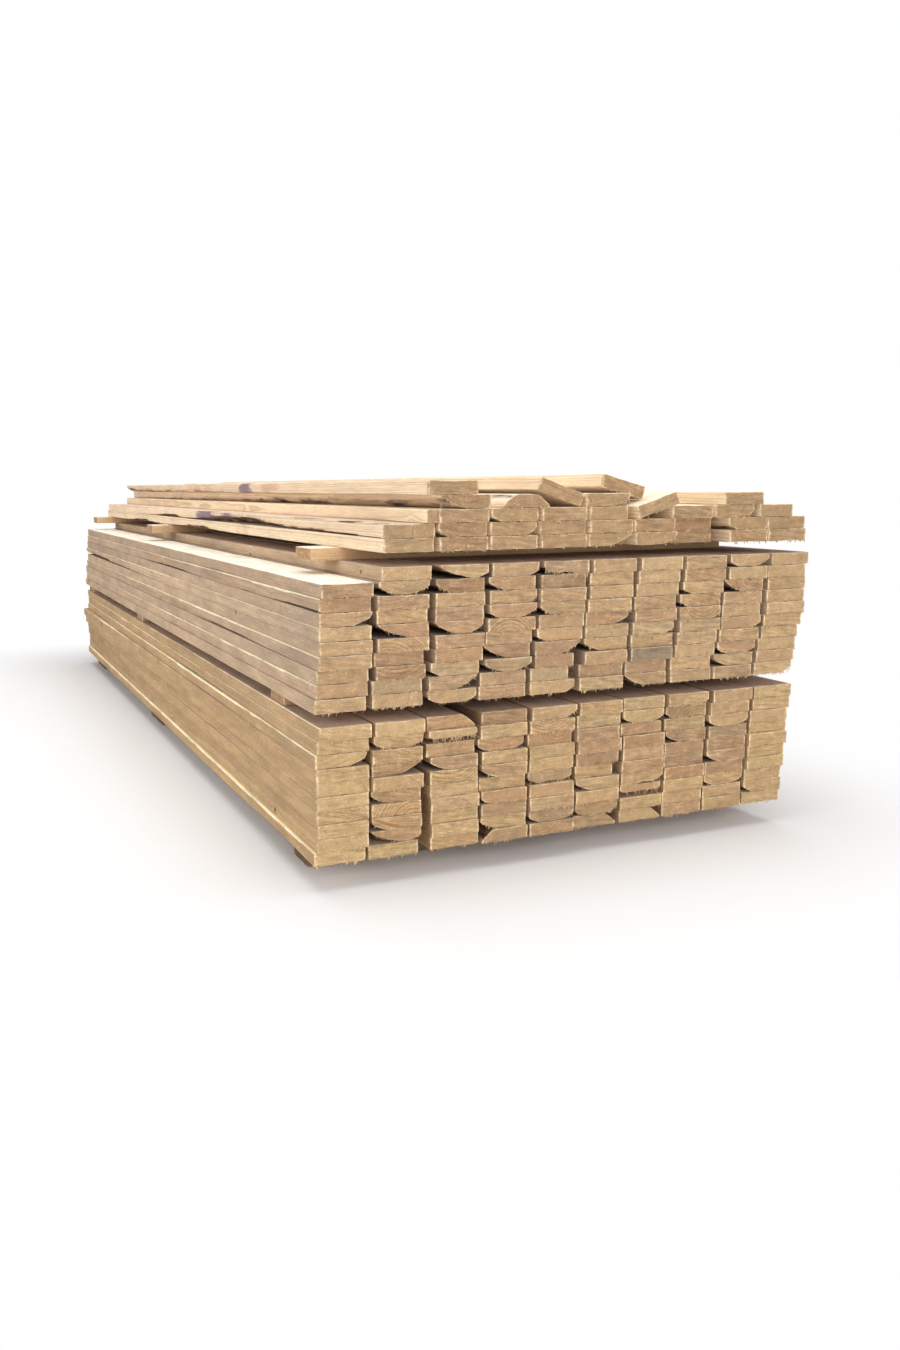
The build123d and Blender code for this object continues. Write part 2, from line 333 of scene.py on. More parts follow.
# %% [markdown]
# The log that a board was cut from
# Growth rings show as arcs on the ends and as long flames on the faces, and both come from one
# log. So each board gets the place of its log's pith. Where a board has wane, the wane is the
# log's own skin: a point on it less the radius times its normal is the pith, and the pith that
# fits all wane planes best is found by least squares. A board with square edges gets a likely
# pith at random.

# %% Find the pith of a board's log
LEAST_LOG, MOST_LOG = 0.09, 0.6
WANE_TURN = 0.03
UNKNOWNS = 3
PITH_ACROSS = 0.3
PITH_AWAY = (0.4, 3.2)


def wane_planes(board):
    """Return which planes of a board are wane: those turned about its length from all sawn faces."""
    across, upward = np.abs(board["normal"][:, 0]), np.abs(board["normal"][:, 2])
    return np.minimum(across, upward) > WANE_TURN


def pith_of(rng, board):
    """Return the place of the pith in the section, across and up from the board's middle.

    With wane it answers n . pith + radius = offset for all wane planes as well as it can. Without
    wane it is drawn at random, some thicknesses above or below the board.
    """
    width, _, thickness = board["high"] - board["low"]
    middle = (board["low"] + board["high"]) / 2
    wane = wane_planes(board)
    if wane.sum() >= UNKNOWNS:
        normal = board["normal"][wane][:, [0, 2]]
        gap = board["offset"][wane] - normal @ middle[[0, 2]] - board["normal"][wane][:, 1] * middle[1]
        table = np.column_stack([normal, np.ones(len(normal))])
        answer = np.linalg.lstsq(table, gap, rcond=None)[0]
        if LEAST_LOG < answer[2] < MOST_LOG:
            return answer[:2]
    across = rng.uniform(-PITH_ACROSS, PITH_ACROSS) * width
    return np.array([across, rng.choice([-1, 1]) * rng.uniform(*PITH_AWAY) * thickness])


LOG_LEAN = 0.006
LOG_SHIFT = 60.0


def log_places(rng, board, local):
    """Return each point's place in the log: across and up from a leaning pith, and along it."""
    log = (local - (board["low"] + board["high"]) / 2)[:, [0, 2, 1]]
    log[:, :2] -= pith_of(rng, board)
    log[:, :2] += log[:, 2:] * rng.uniform(-LOG_LEAN, LOG_LEAN, 2)
    log[:, 2] += rng.uniform(0, LOG_SHIFT)
    return log


every_board = [board for boards in frames_of.values() for board in boards]
print("boards with wane", sum(wane_planes(board).any() for board in every_board))

# %% [markdown]
# Where the skin of one board lies
# Three steps give the reach of the skin in each direction at each station: how far away the face
# planes are, how the arris and the faces are worn, and how the lower rim of the near end is torn.
# A hollow or a ledge is one more plane along an arris, which moves in and out along the board.

# %% Measure the way to each plane
HOLLOW_NORMAL = np.array([-0.42, -0.91])
LEDGE_NORMAL = np.array([-0.6, 0.8])
LEAST_SLOPE = 1e-4
NEVER_MET = 9.0


def plane_distances(board, angle, along, bark, hollows, ledges):
    """Return the way from the axis to each plane, and how much each plane is wane and ledge.

    The way is the room between axis and plane over the slope, direction . normal. Hollows lie
    along the lower left arris and ledges along the upper left one.
    """
    low, high = board["low"], board["high"]
    middle, half = (low + high) / 2, (high - low) / 2
    direction = np.column_stack([np.cos(angle), np.sin(angle)])
    normal = board["normal"]
    slope = direction @ normal[:, [0, 2]].T
    gap = (board["offset"][None, :] - np.outer(low[1] + along, normal[:, 1])
           - normal[:, [0, 2]] @ middle[[0, 2]])
    is_wane = wane_planes(board) * bark
    is_ledge = np.zeros(len(is_wane))
    # A hollow counts fully as wane, so the dark bark colour on it also paints the shade under the arris.
    for shapes, plane, wane in ((hollows, HOLLOW_NORMAL, 1.0), (ledges, LEDGE_NORMAL, 0.0)):
        if shapes:
            room = np.abs(plane) @ half[[0, 2]] - bells(along, shapes)
            slope = np.column_stack([slope, direction @ plane])
            gap = np.column_stack([gap, room])
            is_wane = np.append(is_wane, wane)
            is_ledge = np.append(is_ledge, 1.0 - wane)
    met = slope[None] > LEAST_SLOPE
    distance = np.where(met, gap[:, None, :] / np.maximum(slope[None], LEAST_SLOPE), NEVER_MET)
    return distance, is_wane, is_ledge


first_board = frames_of["lower_layer_01"][0]
ways, _, _ = plane_distances(first_board, np.zeros(1), np.full(1, 3.0), 0.0, (), ())
print("way from a board's axis to its edge", round(float(ways.min()), 4))

# %% Wear the faces and arrises, and tear the lower rim
LEAST_ROUNDING, ROUGH_ROUNDING = 0.0003, 0.0007
ROUNDING_WAVES = ((0.35, 0.9, 2.3), (0.0004, 0.0006, 0.0006))
FACE_WAVES = ((0.28, 0.7, 1.9, 4.1), (0.0001, 0.0003, 0.0005, 0.0007))
WANE_WAVES = ((0.3, 0.8, 1.9), (0.001, 0.002, 0.002))
TORN_WAVES = ((0.011, 0.023, 0.051), (0.0006, 0.0009, 0.0012))
DENT_DEPTH = 0.005
WOBBLE_TURNS = (5, 9, 14, 19)
WOBBLE_HEIGHT, WOBBLE_RUN = 0.00035, 0.03
TORN_EDGE = 0.004
RIM_RADIUS = 0.2
BITE_LEAST, BITE_RAGGED = 0.5, 300


def worn_reach(rng, size, angle, along, distance, on_wane, roughness):
    """Return the reach of the skin: the soft least of the ways, less waves, dents and a wobble.

    The wobble is a sum of cosines around the board that fades as exp(-s / run) from the end.
    """
    width, length, thickness = size
    s, a = along[:, None], angle[None, :]
    arrises = np.arctan2([-thickness, -thickness, thickness, thickness], [-width, width, width, -width])
    softness = LEAST_ROUNDING + ROUGH_ROUNDING * roughness ** 2
    softness = softness + waves(rng, s, a, *ROUNDING_WAVES) * roughness
    reach = soft_least(distance, softness)
    reach -= waves(rng, s, a, *FACE_WAVES) * roughness
    reach -= dents(rng, s, a, arrises, int(length * roughness), DENT_DEPTH)
    reach -= on_wane * waves(rng, s, a, *WANE_WAVES) * roughness
    wobble = sum(np.cos(angle * turns + rng.uniform(0, 2 * np.pi)) + 1 for turns in WOBBLE_TURNS)
    reach -= WOBBLE_HEIGHT * wobble[None, :] * np.exp(-s / WOBBLE_RUN)
    return reach


def tear_lower_rim(rng, size, angle, along, reach, bite):
    """Return how deep the fibres are torn at the lower rim, and take a bite out of the reach.

    A bite is a bell across the board, from its lower face up, and fades as exp(-s / run).
    """
    width, _, thickness = size
    height = np.sin(angle) * reach[0]
    lower_edge = np.exp(-((height + thickness / 2) / TORN_EDGE) ** 2)
    torn = waves(rng, angle[None, :] * RIM_RADIUS, 0.0, *TORN_WAVES)[0]
    if bite:
        across_place, across_run, depth, run = bite
        under = np.clip(-height / (thickness / 2), 0, 1) ** 2
        across = np.cos(angle) * reach[0] - across_place * width
        bell = np.exp(-(across / across_run) ** 2) * (BITE_LEAST + torn * BITE_RAGGED)
        reach -= depth * np.exp(-along[:, None] / run) * (under * bell)[None, :]
    return lower_edge * torn


print("waves on a face", len(FACE_WAVES[0]), "and on wane", len(WANE_WAVES[0]), "more")

# %% [markdown]
# One board
# The rows of the grid are closed by rings over both ends, and the ends are cut a little askew, each
# in its own way. Every point keeps its place in the log, how much of it is wane or ledge, and how
# near it is to the rim of its end. The faces of the two ends get another material than the long
# faces.

# %% Lay the points and faces of a grid
CUT_SLOPE = 0.009
RELIEF_HEIGHT, RELIEF_BASE = 0.0004, 0.0012
TORN_POWER = 12
NEXT_ROW_SHARE = 0.7


def end_share(rows, caps):
    """Return how far each row follows the near end: its rings and rim fully, the next row less."""
    share = (np.arange(rows) <= caps).astype(float)
    share[caps + 1] = NEXT_ROW_SHARE
    return share


def saw_relief(rng, x, z, middle):
    """Return the relief of a cut: three sine waves over the end with random phases, over a base."""
    phase = rng.uniform(0, 2 * np.pi, 3)
    relief = np.sin((x - middle[0]) * 75 + z * 160 + phase[0])
    relief += np.sin(z * 330 - x * 40 + phase[1])
    relief += np.sin(x * 210 + phase[2])
    return relief * RELIEF_HEIGHT + RELIEF_BASE


def grid_points(rng, board, angle, along, reach, torn):
    """Return the points row by row, then both poles, with each row's ring share and station.

    A point lies at middle + reach * ring * (cos, sin) across and up. Along the board it lies at
    its station, moved at the ends by the slant of the cut, a plane in x and z, and by its relief.
    """
    low, high = board["low"], board["high"]
    middle, half = (low + high) / 2, (high - low) / 2
    near, far = len(NEAR_RINGS), len(FAR_RINGS)
    last = len(along) - 1
    rings = np.concatenate([NEAR_RINGS, np.ones(len(along)), FAR_RINGS[::-1]])
    station = np.concatenate([np.zeros(near, int), np.arange(len(along)), np.full(far, last)])
    radius = reach[station] * rings[:, None]
    x = middle[0] + radius * np.cos(angle)
    z = middle[2] + radius * np.sin(angle)
    y = low[1] + along[station][:, None] + np.zeros_like(x)
    y[:near] = low[1]
    y[-far:] = high[1]
    cut = rng.uniform(-CUT_SLOPE, CUT_SLOPE, 2)
    relief = saw_relief(rng, x, z, middle)
    slant = (x - middle[0]) * cut[0] + (z - middle[2]) * cut[1]
    room = half[0] * abs(cut[0]) + half[2] * abs(cut[1])
    torn_in = np.outer(rings ** TORN_POWER, torn)
    y += end_share(len(rings), near)[:, None] * (slant + room + relief + torn_in)
    y -= end_share(len(rings), far)[::-1, None] * (slant + room)
    poles = [[middle[0], low[1] + room + RELIEF_BASE, middle[2]], [middle[0], high[1] - room, middle[2]]]
    return np.concatenate([np.stack([x, y, z], axis=2).reshape(-1, 3), poles]), rings, station


def grid_faces(rows, columns):
    """Return the quads between rows, the fans round both poles, and which quads are on an end."""
    index = np.arange(rows * columns).reshape(rows, columns)
    after = np.roll(index, -1, axis=1)
    quads = np.stack([index[:-1], index[1:], after[1:], after[:-1]], axis=2).reshape(-1, 4)
    near_fan = np.stack([np.full(columns, rows * columns), index[0], after[0]], axis=1)
    far_fan = np.stack([np.full(columns, rows * columns + 1), after[-1], index[-1]], axis=1)
    row = np.repeat(np.arange(rows - 1), columns)
    on_end = (row < len(NEAR_RINGS)) | (row >= rows - 1 - len(FAR_RINGS))
    return quads, np.concatenate([near_fan, far_fan]), on_end


print("rings over a near end", len(NEAR_RINGS), "and over a far end", len(FAR_RINGS))

# %% Build the grid of one board
MARK_REACH = 0.04
UPPER_REACH = 0.003


def over_points(values, columns, poles=(0, 0)):
    """Return one number for each point, from one for each row, or for each row and column."""
    table = np.broadcast_to(values.reshape(len(values), -1), (len(values), columns))
    return np.concatenate([table.ravel(), poles])


def board_grid(rng, board, fineness, bark, hollows=(), ledges=(), bite=None):
    """Return the points, faces and attributes of one board's closed skin.

    Bark is how much of it is left on the wane. The marks reach a short way in from the left face.
    """
    low, high = board["low"], board["high"]
    size = high - low
    angle = section_angles(size[0], size[2], fineness["pitch"])
    along = stations(size[1], fineness["first_step"], fineness["growth"])
    distance, is_wane, is_ledge = plane_distances(board, angle, along, bark, hollows, ledges)
    nearest = distance.argmin(axis=2)
    on_wane, on_ledge = is_wane[nearest], is_ledge[nearest]
    reach = worn_reach(rng, size, angle, along, distance, on_wane, fineness["roughness"])
    torn = tear_lower_rim(rng, size, angle, along, reach, bite)
    local, rings, station = grid_points(rng, board, angle, along, reach, torn)
    columns = len(angle)
    quads, fans, on_end = grid_faces(len(rings), columns)
    left = (local[:, 0] < low[0] + MARK_REACH).astype(float)
    return {
        "points": local @ board["turn"], "quads": quads, "fans": fans, "on_end": on_end,
        "log": log_places(rng, board, local),
        "wane": over_points(on_wane[station], columns),
        "ledge_highlight": over_points(on_ledge[station], columns),
        "from_end": over_points(np.minimum(along, size[1] - along)[station], columns),
        "place": over_points(along[station], columns, (0, size[1])),
        "left": left, "upper": left * (local[:, 2] > high[2] - UPPER_REACH),
        "rim": over_points(rings, columns),
    }


sample = board_grid(np.random.default_rng(1), every_board[0], {**SHOWN, "pitch": 0.05}, PACK_BARK)
print("points on one coarse board", len(sample["points"]))

# %% [markdown]
# Tone and look
# No two boards have one colour: some are yellower, some pinker, one is grey with blue stain and
# a few are brown from the bark side. Eight numbers for each board carry this to the materials.
# Tone is brightness, warmth, stain and ring width in centimetres. Look is the strength of the
# rings, how mottled the wood is, how its saw streaks lean, and how much its top takes of the cream
# of bleach and painted light, the rest of the top going to painted shade.
# Most are drawn at random, and boards that stand out are named by column and layer. A few
# boards also have hollows or a ledge at an arris, a bite out of the near end, blue and pink marks,
# or patches of painted shade where a hollow of the board above hangs over them. Each hollow,
# ledge and mark is a bell: its place, run and height along the board. A bite is its place and run
# across the board, as a share of the width and in metres, then its depth and how far it runs in.

# %% Name the boards that stand out
BARK_SIDE = {6: (6, 7, 8), 7: (5, 6, 7, 8), 8: (4, 5), 9: (4, 5, 6)}
TRAITS = {
    "pink": {"middle": {1: (8, 9), 2: (3, 4, 6, 8), 3: (4, 5, 9), 4: (7,), 7: (2,)}, "lower": BARK_SIDE},
    "mottled": {"middle": {1: (8,), 2: (4,), 3: (9,), 4: (9,), 5: (9, 10), 8: (7,)},
                "lower": {**BARK_SIDE, 4: (10,)}},
    "ringed": {"middle": {2: (3, 5, 8), 4: (6,), 8: (6,), 9: (8,)},
               "lower": {2: (3, 4), 5: (8, 9), 8: (9,), 3: (6,)}},
    "brown": {"middle": {5: (9,), 3: (9,)}, "lower": {4: (10,)}},
    "grey": {"middle": {7: (3,)}},
    "pale": {"middle": {6: (7, 8, 9), 7: (4, 9, 10), 9: (9,), 10: range(1, 11)},
             "lower": {1: range(1, 11), 10: range(1, 11), 3: (2, 3), 2: (9, 10)}},
}
HOLLOWS = {
    ("loose_row_2", 1): ((0.7, 0.5, 0.008), (1.7, 0.5, 0.026), (2.3, 0.5, 0.024), (3.6, 0.5, 0.012)),
    ("loose_row_3", 1): ((0.12, 0.06, 0.012), (0.38, 0.09, 0.014), (0.85, 0.22, 0.012), (2.4, 0.6, 0.018)),
    ("loose_row_1", 1): ((2.9, 0.5, 0.012), (4.6, 0.4, 0.012)),
    ("loose_row_4", 1): ((0.0, 0.5, 0.030),),
    ("middle_layer_08", 1): ((0.2, 0.3, 0.007), (2.6, 0.5, 0.008)),
    ("middle_layer_04", 1): ((1.3, 0.4, 0.007),),
    ("lower_layer_09", 1): ((1.9, 0.6, 0.008),),
}
LEDGES = {
    ("middle_layer_08", 1): ((0.6, 2.2, 0.0034),),
    ("middle_layer_06", 1): ((3.6, 0.9, 0.0032),),
    ("middle_layer_04", 1): ((1.6, 2.6, 0.0036),),
    ("middle_layer_02", 1): ((0.9, 2.0, 0.0036),),
    ("lower_layer_10", 1): ((1.0, 2.4, 0.0032),),
    ("lower_layer_09", 1): ((4.2, 1.2, 0.0034),),
    ("lower_layer_08", 1): ((1.6, 3.0, 0.0036),),
    ("lower_layer_07", 1): ((4.9, 0.9, 0.0034),),
    ("lower_layer_05", 1): ((5.0, 0.8, 0.0034),),
    ("lower_layer_01", 1): ((3.0, 6.0, 0.0042),),
}
BITES = {
    ("middle_layer_10", 5): (-0.02, 0.034, 0.015, 0.12),
    ("middle_layer_10", 3): (-0.25, 0.05, 0.010, 0.10),
    ("lower_layer_05", 5): (0.1, 0.06, 0.010, 0.08),
    ("lower_layer_09", 3): (0.0, 0.07, 0.010, 0.08),
    ("lower_layer_04", 7): (0.1, 0.05, 0.012, 0.08),
}
print("boards with hollows", len(HOLLOWS), "with ledges", len(LEDGES), "with bites", len(BITES))

# %% Choose each board's tone and look
# Patches of painted shade on the upper left arris, under the hollows of the board above.
SHADE_UNDER_HOLLOWS = {("loose_row_2", 1): ((0.12, 0.07, 1.0), (0.38, 0.1, 1.0), (0.9, 0.25, 0.8))}
BLUE_MARKS = {("loose_row_2", 1): ((2.16, 0.10, 0.75), (2.62, 0.26, 0.95)),
              ("loose_board_top", 1): ((2.42, 0.2, 0.8),)}
PINK_MARKS = {("loose_board_top", 1): ((1.95, 0.2, 0.8), (3.4, 0.5, 0.6)),
              ("loose_row_3", 1): ((1.5, 0.3, 0.5),),
              ("loose_row_1", 1): ((1.9, 0.3, 0.5),)}
COLUMNS = 10
TIGHT_BOARDS = {(f"lower_layer_{layer:02d}", 1) for layer in (2, 3, 4, 5, 6, 7)}
OPEN_BOARDS = {("middle_layer_09", 1)}
DULL_BOARDS = {(f"middle_layer_{layer:02d}", 1) for layer in (1, 3, 5, 7)}


def column_of(name, place):
    """Return a board's column from the left: a layer that is short of a board lacks its first."""
    short = COLUMNS - len(frames_of[name]) if "layer" in name else 0
    return place + 1 + short


def has_trait(trait, name, column):
    """Return whether the board in this column of this layer stands out by this trait."""
    pack, _, layer = name.partition("_layer_")
    return layer != "" and int(layer) in TRAITS[trait].get(pack, {}).get(column, ())


def board_looks(rng, name, column):
    """Return the tone and the look of a board, drawn at random and then set by its traits."""
    tone = [rng.normal(1.0, 0.040), rng.beta(1.8, 2.0), rng.beta(1.1, 7.0) * 0.8, rng.uniform(0.45, 1.0)]
    look = [rng.beta(1.2, 2.2), rng.beta(1.0, 2.6), rng.uniform(0.0, 1.0), 1.0]
    if has_trait("pink", name, column):
        tone[1] = 0.85
    if has_trait("pale", name, column):
        tone[:3] = rng.uniform(1.0, 1.05), rng.uniform(0.0, 0.25), 0.05
    if has_trait("brown", name, column):
        tone[0] = 0.86
        look[1] = 1.0
    if has_trait("grey", name, column):
        tone[:3] = 0.86, 0.2, 0.75
    if has_trait("ringed", name, column):
        tone[3] = rng.uniform(1.05, 1.4)
        look[0] = 1.0
    if has_trait("mottled", name, column):
        look[1] = 0.9
    # The last look shares a top between painted light and painted shade: outer tops lit, inner and covered
    # ones shaded.
    if "layer" in name and (name, column) not in OPEN_BOARDS:
        look[3] = 0.0 if column in range(2, COLUMNS) else 0.95
    if name.endswith("layer_10"):
        look[3] = 0.05
    if (name, column) in TIGHT_BOARDS | DULL_BOARDS:
        look[3] = 0.15
    if name.startswith("loose"):
        tone[:3] = rng.uniform(0.99, 1.05), tone[1] * 0.7, tone[2] * 0.2
    if (name, column) in SHADE_UNDER_HOLLOWS:
        look[3] = 0.45
    return tone, look


print("standing out", {trait: sum(len(v) for pack in where.values() for v in pack.values())
                       for trait, where in TRAITS.items()})

# %% [markdown]
# From boards to one piece
# The boards of a layer become one mesh, because the frame keeps them as one node. The arrays are
# joined and written with foreach_set, which takes a moment even for a hundred thousand faces.

# %% Write a mesh from arrays
LONG_FACES, END_FACES = 0, 1
# Painted highlight: a thin cream line along the top of each board near its ends, and how far in it runs.
END_HIGHLIGHT, END_HIGHLIGHT_RUN = 0.9, 0.010


def mesh_object(name, points, quads, triangles, face_slots, attributes, smooth=True):
    """Return a new object whose mesh holds the points, the quads, then the triangles."""
    mesh = bpy.data.meshes.new(name)
    mesh.vertices.add(len(points))
    mesh.vertices.foreach_set("co", np.asarray(points, np.float32).ravel())
    loops = np.concatenate([quads.ravel(), triangles.ravel()]).astype(np.int32)
    corners = np.repeat([4, 3], [len(quads), len(triangles)])
    starts = np.cumsum(corners) - corners
    mesh.loops.add(len(loops))
    mesh.loops.foreach_set("vertex_index", loops)
    mesh.polygons.add(len(starts))
    mesh.polygons.foreach_set("loop_start", starts.astype(np.int32))
    mesh.polygons.foreach_set("material_index", np.asarray(face_slots, np.int32))
    mesh.polygons.foreach_set("use_smooth", np.full(len(starts), smooth))
    mesh.update(calc_edges=True)
    for label, (kind, values) in attributes.items():
        attribute = mesh.attributes.new(label, kind, "POINT")
        key = {"FLOAT": "value", "FLOAT_VECTOR": "vector", "FLOAT_COLOR": "color"}[kind]
        attribute.data.foreach_set(key, np.asarray(values, np.float32).ravel())
    thing = bpy.data.objects.new(name, mesh)
    bpy.context.scene.collection.objects.link(thing)
    return thing


def mark_channels(grid, shapes):
    """Return the four marks of a board: blue, pink, wane with painted shade patches, and the rim."""
    blue, pink, bark = [bells(grid["place"], shape) for shape in shapes]
    # the painted shade patches join the wane in the dark channel
    dark = np.maximum(grid["wane"], bark * grid["upper"])
    return np.column_stack([blue * grid["left"], pink * grid["left"], dark, grid["rim"]])


def join_boards(name, grids, looks, marks):
    """Return one object of several board grids, with their numbers moved on past each other.

    A top is open to the sky as its look says, and near each end it always takes a painted highlight.
    """
    counts = np.array([len(grid["points"]) for grid in grids])
    shifts = np.concatenate([[0], np.cumsum(counts)[:-1]])

    def joined(key):
        return np.concatenate([grid[key] for grid in grids])

    quads, fans = [np.concatenate([grid[key] + shift for grid, shift in zip(grids, shifts)])
                   for key in ("quads", "fans")]
    slots = np.full(len(quads) + len(fans), END_FACES)
    slots[:len(quads)] = np.where(joined("on_end"), END_FACES, LONG_FACES)
    tone, look = [np.repeat(np.array(numbers), counts, axis=0) for numbers in zip(*looks)]
    # painted highlight near each end
    end_highlight = END_HIGHLIGHT * np.exp(-(joined("from_end") / END_HIGHLIGHT_RUN) ** 2)
    look[:, 3] = np.maximum(look[:, 3], end_highlight)
    attributes = {
        "log": ("FLOAT_VECTOR", joined("log")),
        "marks": ("FLOAT_COLOR", np.concatenate([mark_channels(*pair) for pair in zip(grids, marks)])),
        "tone": ("FLOAT_COLOR", tone),
        "look": ("FLOAT_COLOR", look),
        "ledge_highlight": ("FLOAT", joined("ledge_highlight")),
    }
    return mesh_object(name, joined("points"), quads, fans, slots, attributes)


print("material slots: long faces", LONG_FACES, "and ends", END_FACES)

# %% [markdown]
# All the boards
# The skins of all nodes come from one seeded generator, so the same boards come out each time.
# The outermost boards of a layer are the ones that show, and so are all loose boards, stickers
# and cross timbers. Low in the left side of the lower pack the boards lie so tight that their
# joints hardly show, so those get less roughness.

# %% Build the skins of all nodes
OPEN_NODES = ("loose", "bearer", "sticker")
SKIN_SEED = 20


def build_skins():
    """Return the dressed piece of every node, made board by board from one seeded generator."""
    rng = np.random.default_rng(SKIN_SEED)
    pieces = {}
    for name, boards in frames_of.items():
        grids, looks, marks = [], [], []
        last = len(boards) - 1
        for place, board in enumerate(boards):
            shown = place in (0, last) or any(word in name for word in OPEN_NODES)
            key = (name, column_of(name, place))
            fineness = {**(SHOWN if shown else HIDDEN), **(QUIET if key in TIGHT_BOARDS else {})}
            bark = LOOSE_BARK if name.startswith("loose") else PACK_BARK
            grids.append(board_grid(rng, board, fineness, bark, HOLLOWS.get(key, ()),
                                    LEDGES.get(key, ()), BITES.get(key)))
            looks.append(board_looks(rng, *key))
            marks.append([table.get(key, ()) for table in (BLUE_MARKS, PINK_MARKS, SHADE_UNDER_HOLLOWS)])
        pieces[name] = join_boards(name + "_skin", grids, looks, marks)
    return pieces


def triangle_count(piece):
    """Return how many triangles a piece has: its face corners less two for each face."""
    return len(piece.data.loops) - 2 * len(piece.data.polygons)


skins = build_skins()
counts = [triangle_count(piece) for piece in skins.values()]
print("skins", len(skins), "triangles", sum(counts), "most", max(counts))

# %% [markdown]
# Splinters
# A cross-cut tears the lowest fibres of each board, and they hang over the next board's end as a
# ragged fringe. Each splinter is a thin spindle: a diamond of four points at its root, a wider
# one near its middle, and a tip. All of them are one array, root and direction drawn at random
# along the lower rim of each end. A few boards are torn more, with more and longer splinters.

# %% Shape many spindles at once
ROOT_RING = np.array([[1, 0], [0, 0.45], [-1, 0], [0, -0.45]])
SPINDLE_RINGS = ((-0.12, 0.7), (0.45, 1.0))
SPINDLE_POINTS = 9
TIP_SCATTER = 0.12


def splinters(rng, roots, directions, sizes, lengths):
    """Return the points and faces of many spindles, each from its root along its direction.

    A spindle's points are root + direction * share * length + ring * width * taper.
    """
    count = len(roots)
    side = np.cross(directions, [0.3, 0.2, 1.0])
    side /= np.linalg.norm(side, axis=1)[:, None]
    other = np.cross(directions, side)
    rings = []
    spread = ROOT_RING[None, :, 0, None] * side[:, None] + ROOT_RING[None, :, 1, None] * other[:, None]
    for share, taper in SPINDLE_RINGS:
        centre = roots + directions * (share * lengths)[:, None]
        rings.append(centre[:, None] + spread * (taper * sizes)[:, None, None])
    tip = roots + (directions + rng.normal(0, TIP_SCATTER, (count, 3))) * lengths[:, None]
    points = np.concatenate([*rings, tip[:, None]], axis=1)
    base = np.arange(count)[:, None, None] * SPINDLE_POINTS
    j = np.arange(4)
    k = (j + 1) % 4
    sides = np.stack([j, k, k + 4, j + 4], axis=1)[None]
    root_face = np.array([[[3, 2, 1, 0]]])
    tips = np.stack([j + 4, k + 4, np.full(4, SPINDLE_POINTS - 1)], axis=1)[None]
    quads = np.concatenate([(base + sides).reshape(-1, 4), (base + root_face).reshape(-1, 4)])
    return points.reshape(-1, 3), quads, (base + tips).reshape(-1, 3)


print("points of a spindle", SPINDLE_POINTS, "with rings at", [share for share, _ in SPINDLE_RINGS])

# %% Place splinters along the rims
TORN_BOARDS = {("lower_layer_09", 3): 4.0, ("middle_layer_10", 5): 2.6, ("middle_layer_09", 5): 2.0,
               ("middle_layer_09", 3): 2.0, ("lower_layer_05", 5): 2.0, ("lower_layer_04", 4): 2.0,
               ("lower_layer_03", 7): 2.6, ("lower_layer_04", 7): 1.8, ("middle_layer_05", 3): 1.8}
DOWNWARD = -0.05
COUNT_SHAPE, USUAL_COUNT, TORN_COUNT, LEAST_COUNT = 1.8, 14.0, 12.0, 3
BOARD_WIDTH, RIM_SHARE = 0.2, 0.47
ROOT_HEIGHT, ROOT_DEPTH = 0.0025, 0.002
SPLINTER_LENGTH, LEAST_LENGTH, MOST_LENGTH = (2.0, 0.0030), 0.003, 0.013
SPLINTER_WIDTH, LEAST_WIDTH = (2.0, 0.0007), 0.0005
SIDE_SHARE, SIDE_IN, SIDE_FOOT, SIDE_HEAD = 0.4, 0.0015, 0.006, 0.004
SIDE_WAY = [-0.55, -0.35, -0.75]


def lower_rim(board, x, y):
    """Return the height of a section's lower outline: the highest of its downward planes there.

    A plane n . p = offset has the height (offset - nx x - ny y) / nz.
    """
    normal, offset = board["normal"], board["offset"]
    down = normal[:, 2] < DOWNWARD
    heights = (offset[down] - np.outer(x, normal[down, 0]) - y * normal[down, 1]) / normal[down, 2]
    return heights.max(axis=1)


def end_fringe(rng, names, near):
    """Return roots, directions, sizes and lengths of the splinters on the ends of some nodes.

    Their count, length and width follow gamma distributions, so that a few stand out. In the
    first column some of them stand on the left rim of the near end instead.
    """
    fringe = []
    for name in names:
        for place, board in enumerate(frames_of[name]):
            column = column_of(name, place)
            torn = TORN_BOARDS.get((name, column), 1.0) if near else 1.0
            low, high = board["low"], board["high"]
            width = high[0] - low[0]
            usual = USUAL_COUNT + TORN_COUNT * (torn - 1)
            count = int(rng.gamma(COUNT_SHAPE, usual) * width / BOARD_WIDTH) + LEAST_COUNT
            x = rng.uniform(-RIM_SHARE, RIM_SHARE, count) * width + (low[0] + high[0]) / 2
            face = low[1] if near else high[1]
            z = lower_rim(board, x, face) + ROOT_HEIGHT
            y = np.full(count, face + (ROOT_DEPTH if near else -ROOT_DEPTH))
            outward = rng.uniform(-0.1, 0.4, count) * (-1 if near else 1)
            way = np.column_stack([rng.normal(0, 0.7, count), outward, np.full(count, -1.0)])
            way /= np.linalg.norm(way, axis=1)[:, None]
            lengths = np.minimum(rng.gamma(*SPLINTER_LENGTH, count) + LEAST_LENGTH, MOST_LENGTH)
            lengths = lengths * rng.uniform(1.0, torn, count)
            if near and column == 1:
                edge = rng.random(count) < SIDE_SHARE
                x = np.where(edge, low[0] + SIDE_IN, x)
                z = np.where(edge, rng.uniform(low[2] + SIDE_FOOT, high[2] - SIDE_HEAD, count), z)
                way = np.where(edge[:, None], SIDE_WAY, way)
            fringe.append((np.column_stack([x, y, z]) @ board["turn"], way @ board["turn"],
                           rng.gamma(*SPLINTER_WIDTH, count) + LEAST_WIDTH, lengths))
    return [np.concatenate(part) for part in zip(*fringe)]


print("boards torn more than others", len(TORN_BOARDS))

# %% Build the splinters of each pack
BOX_MARGIN = 1e-4
FAR_SEED = 9


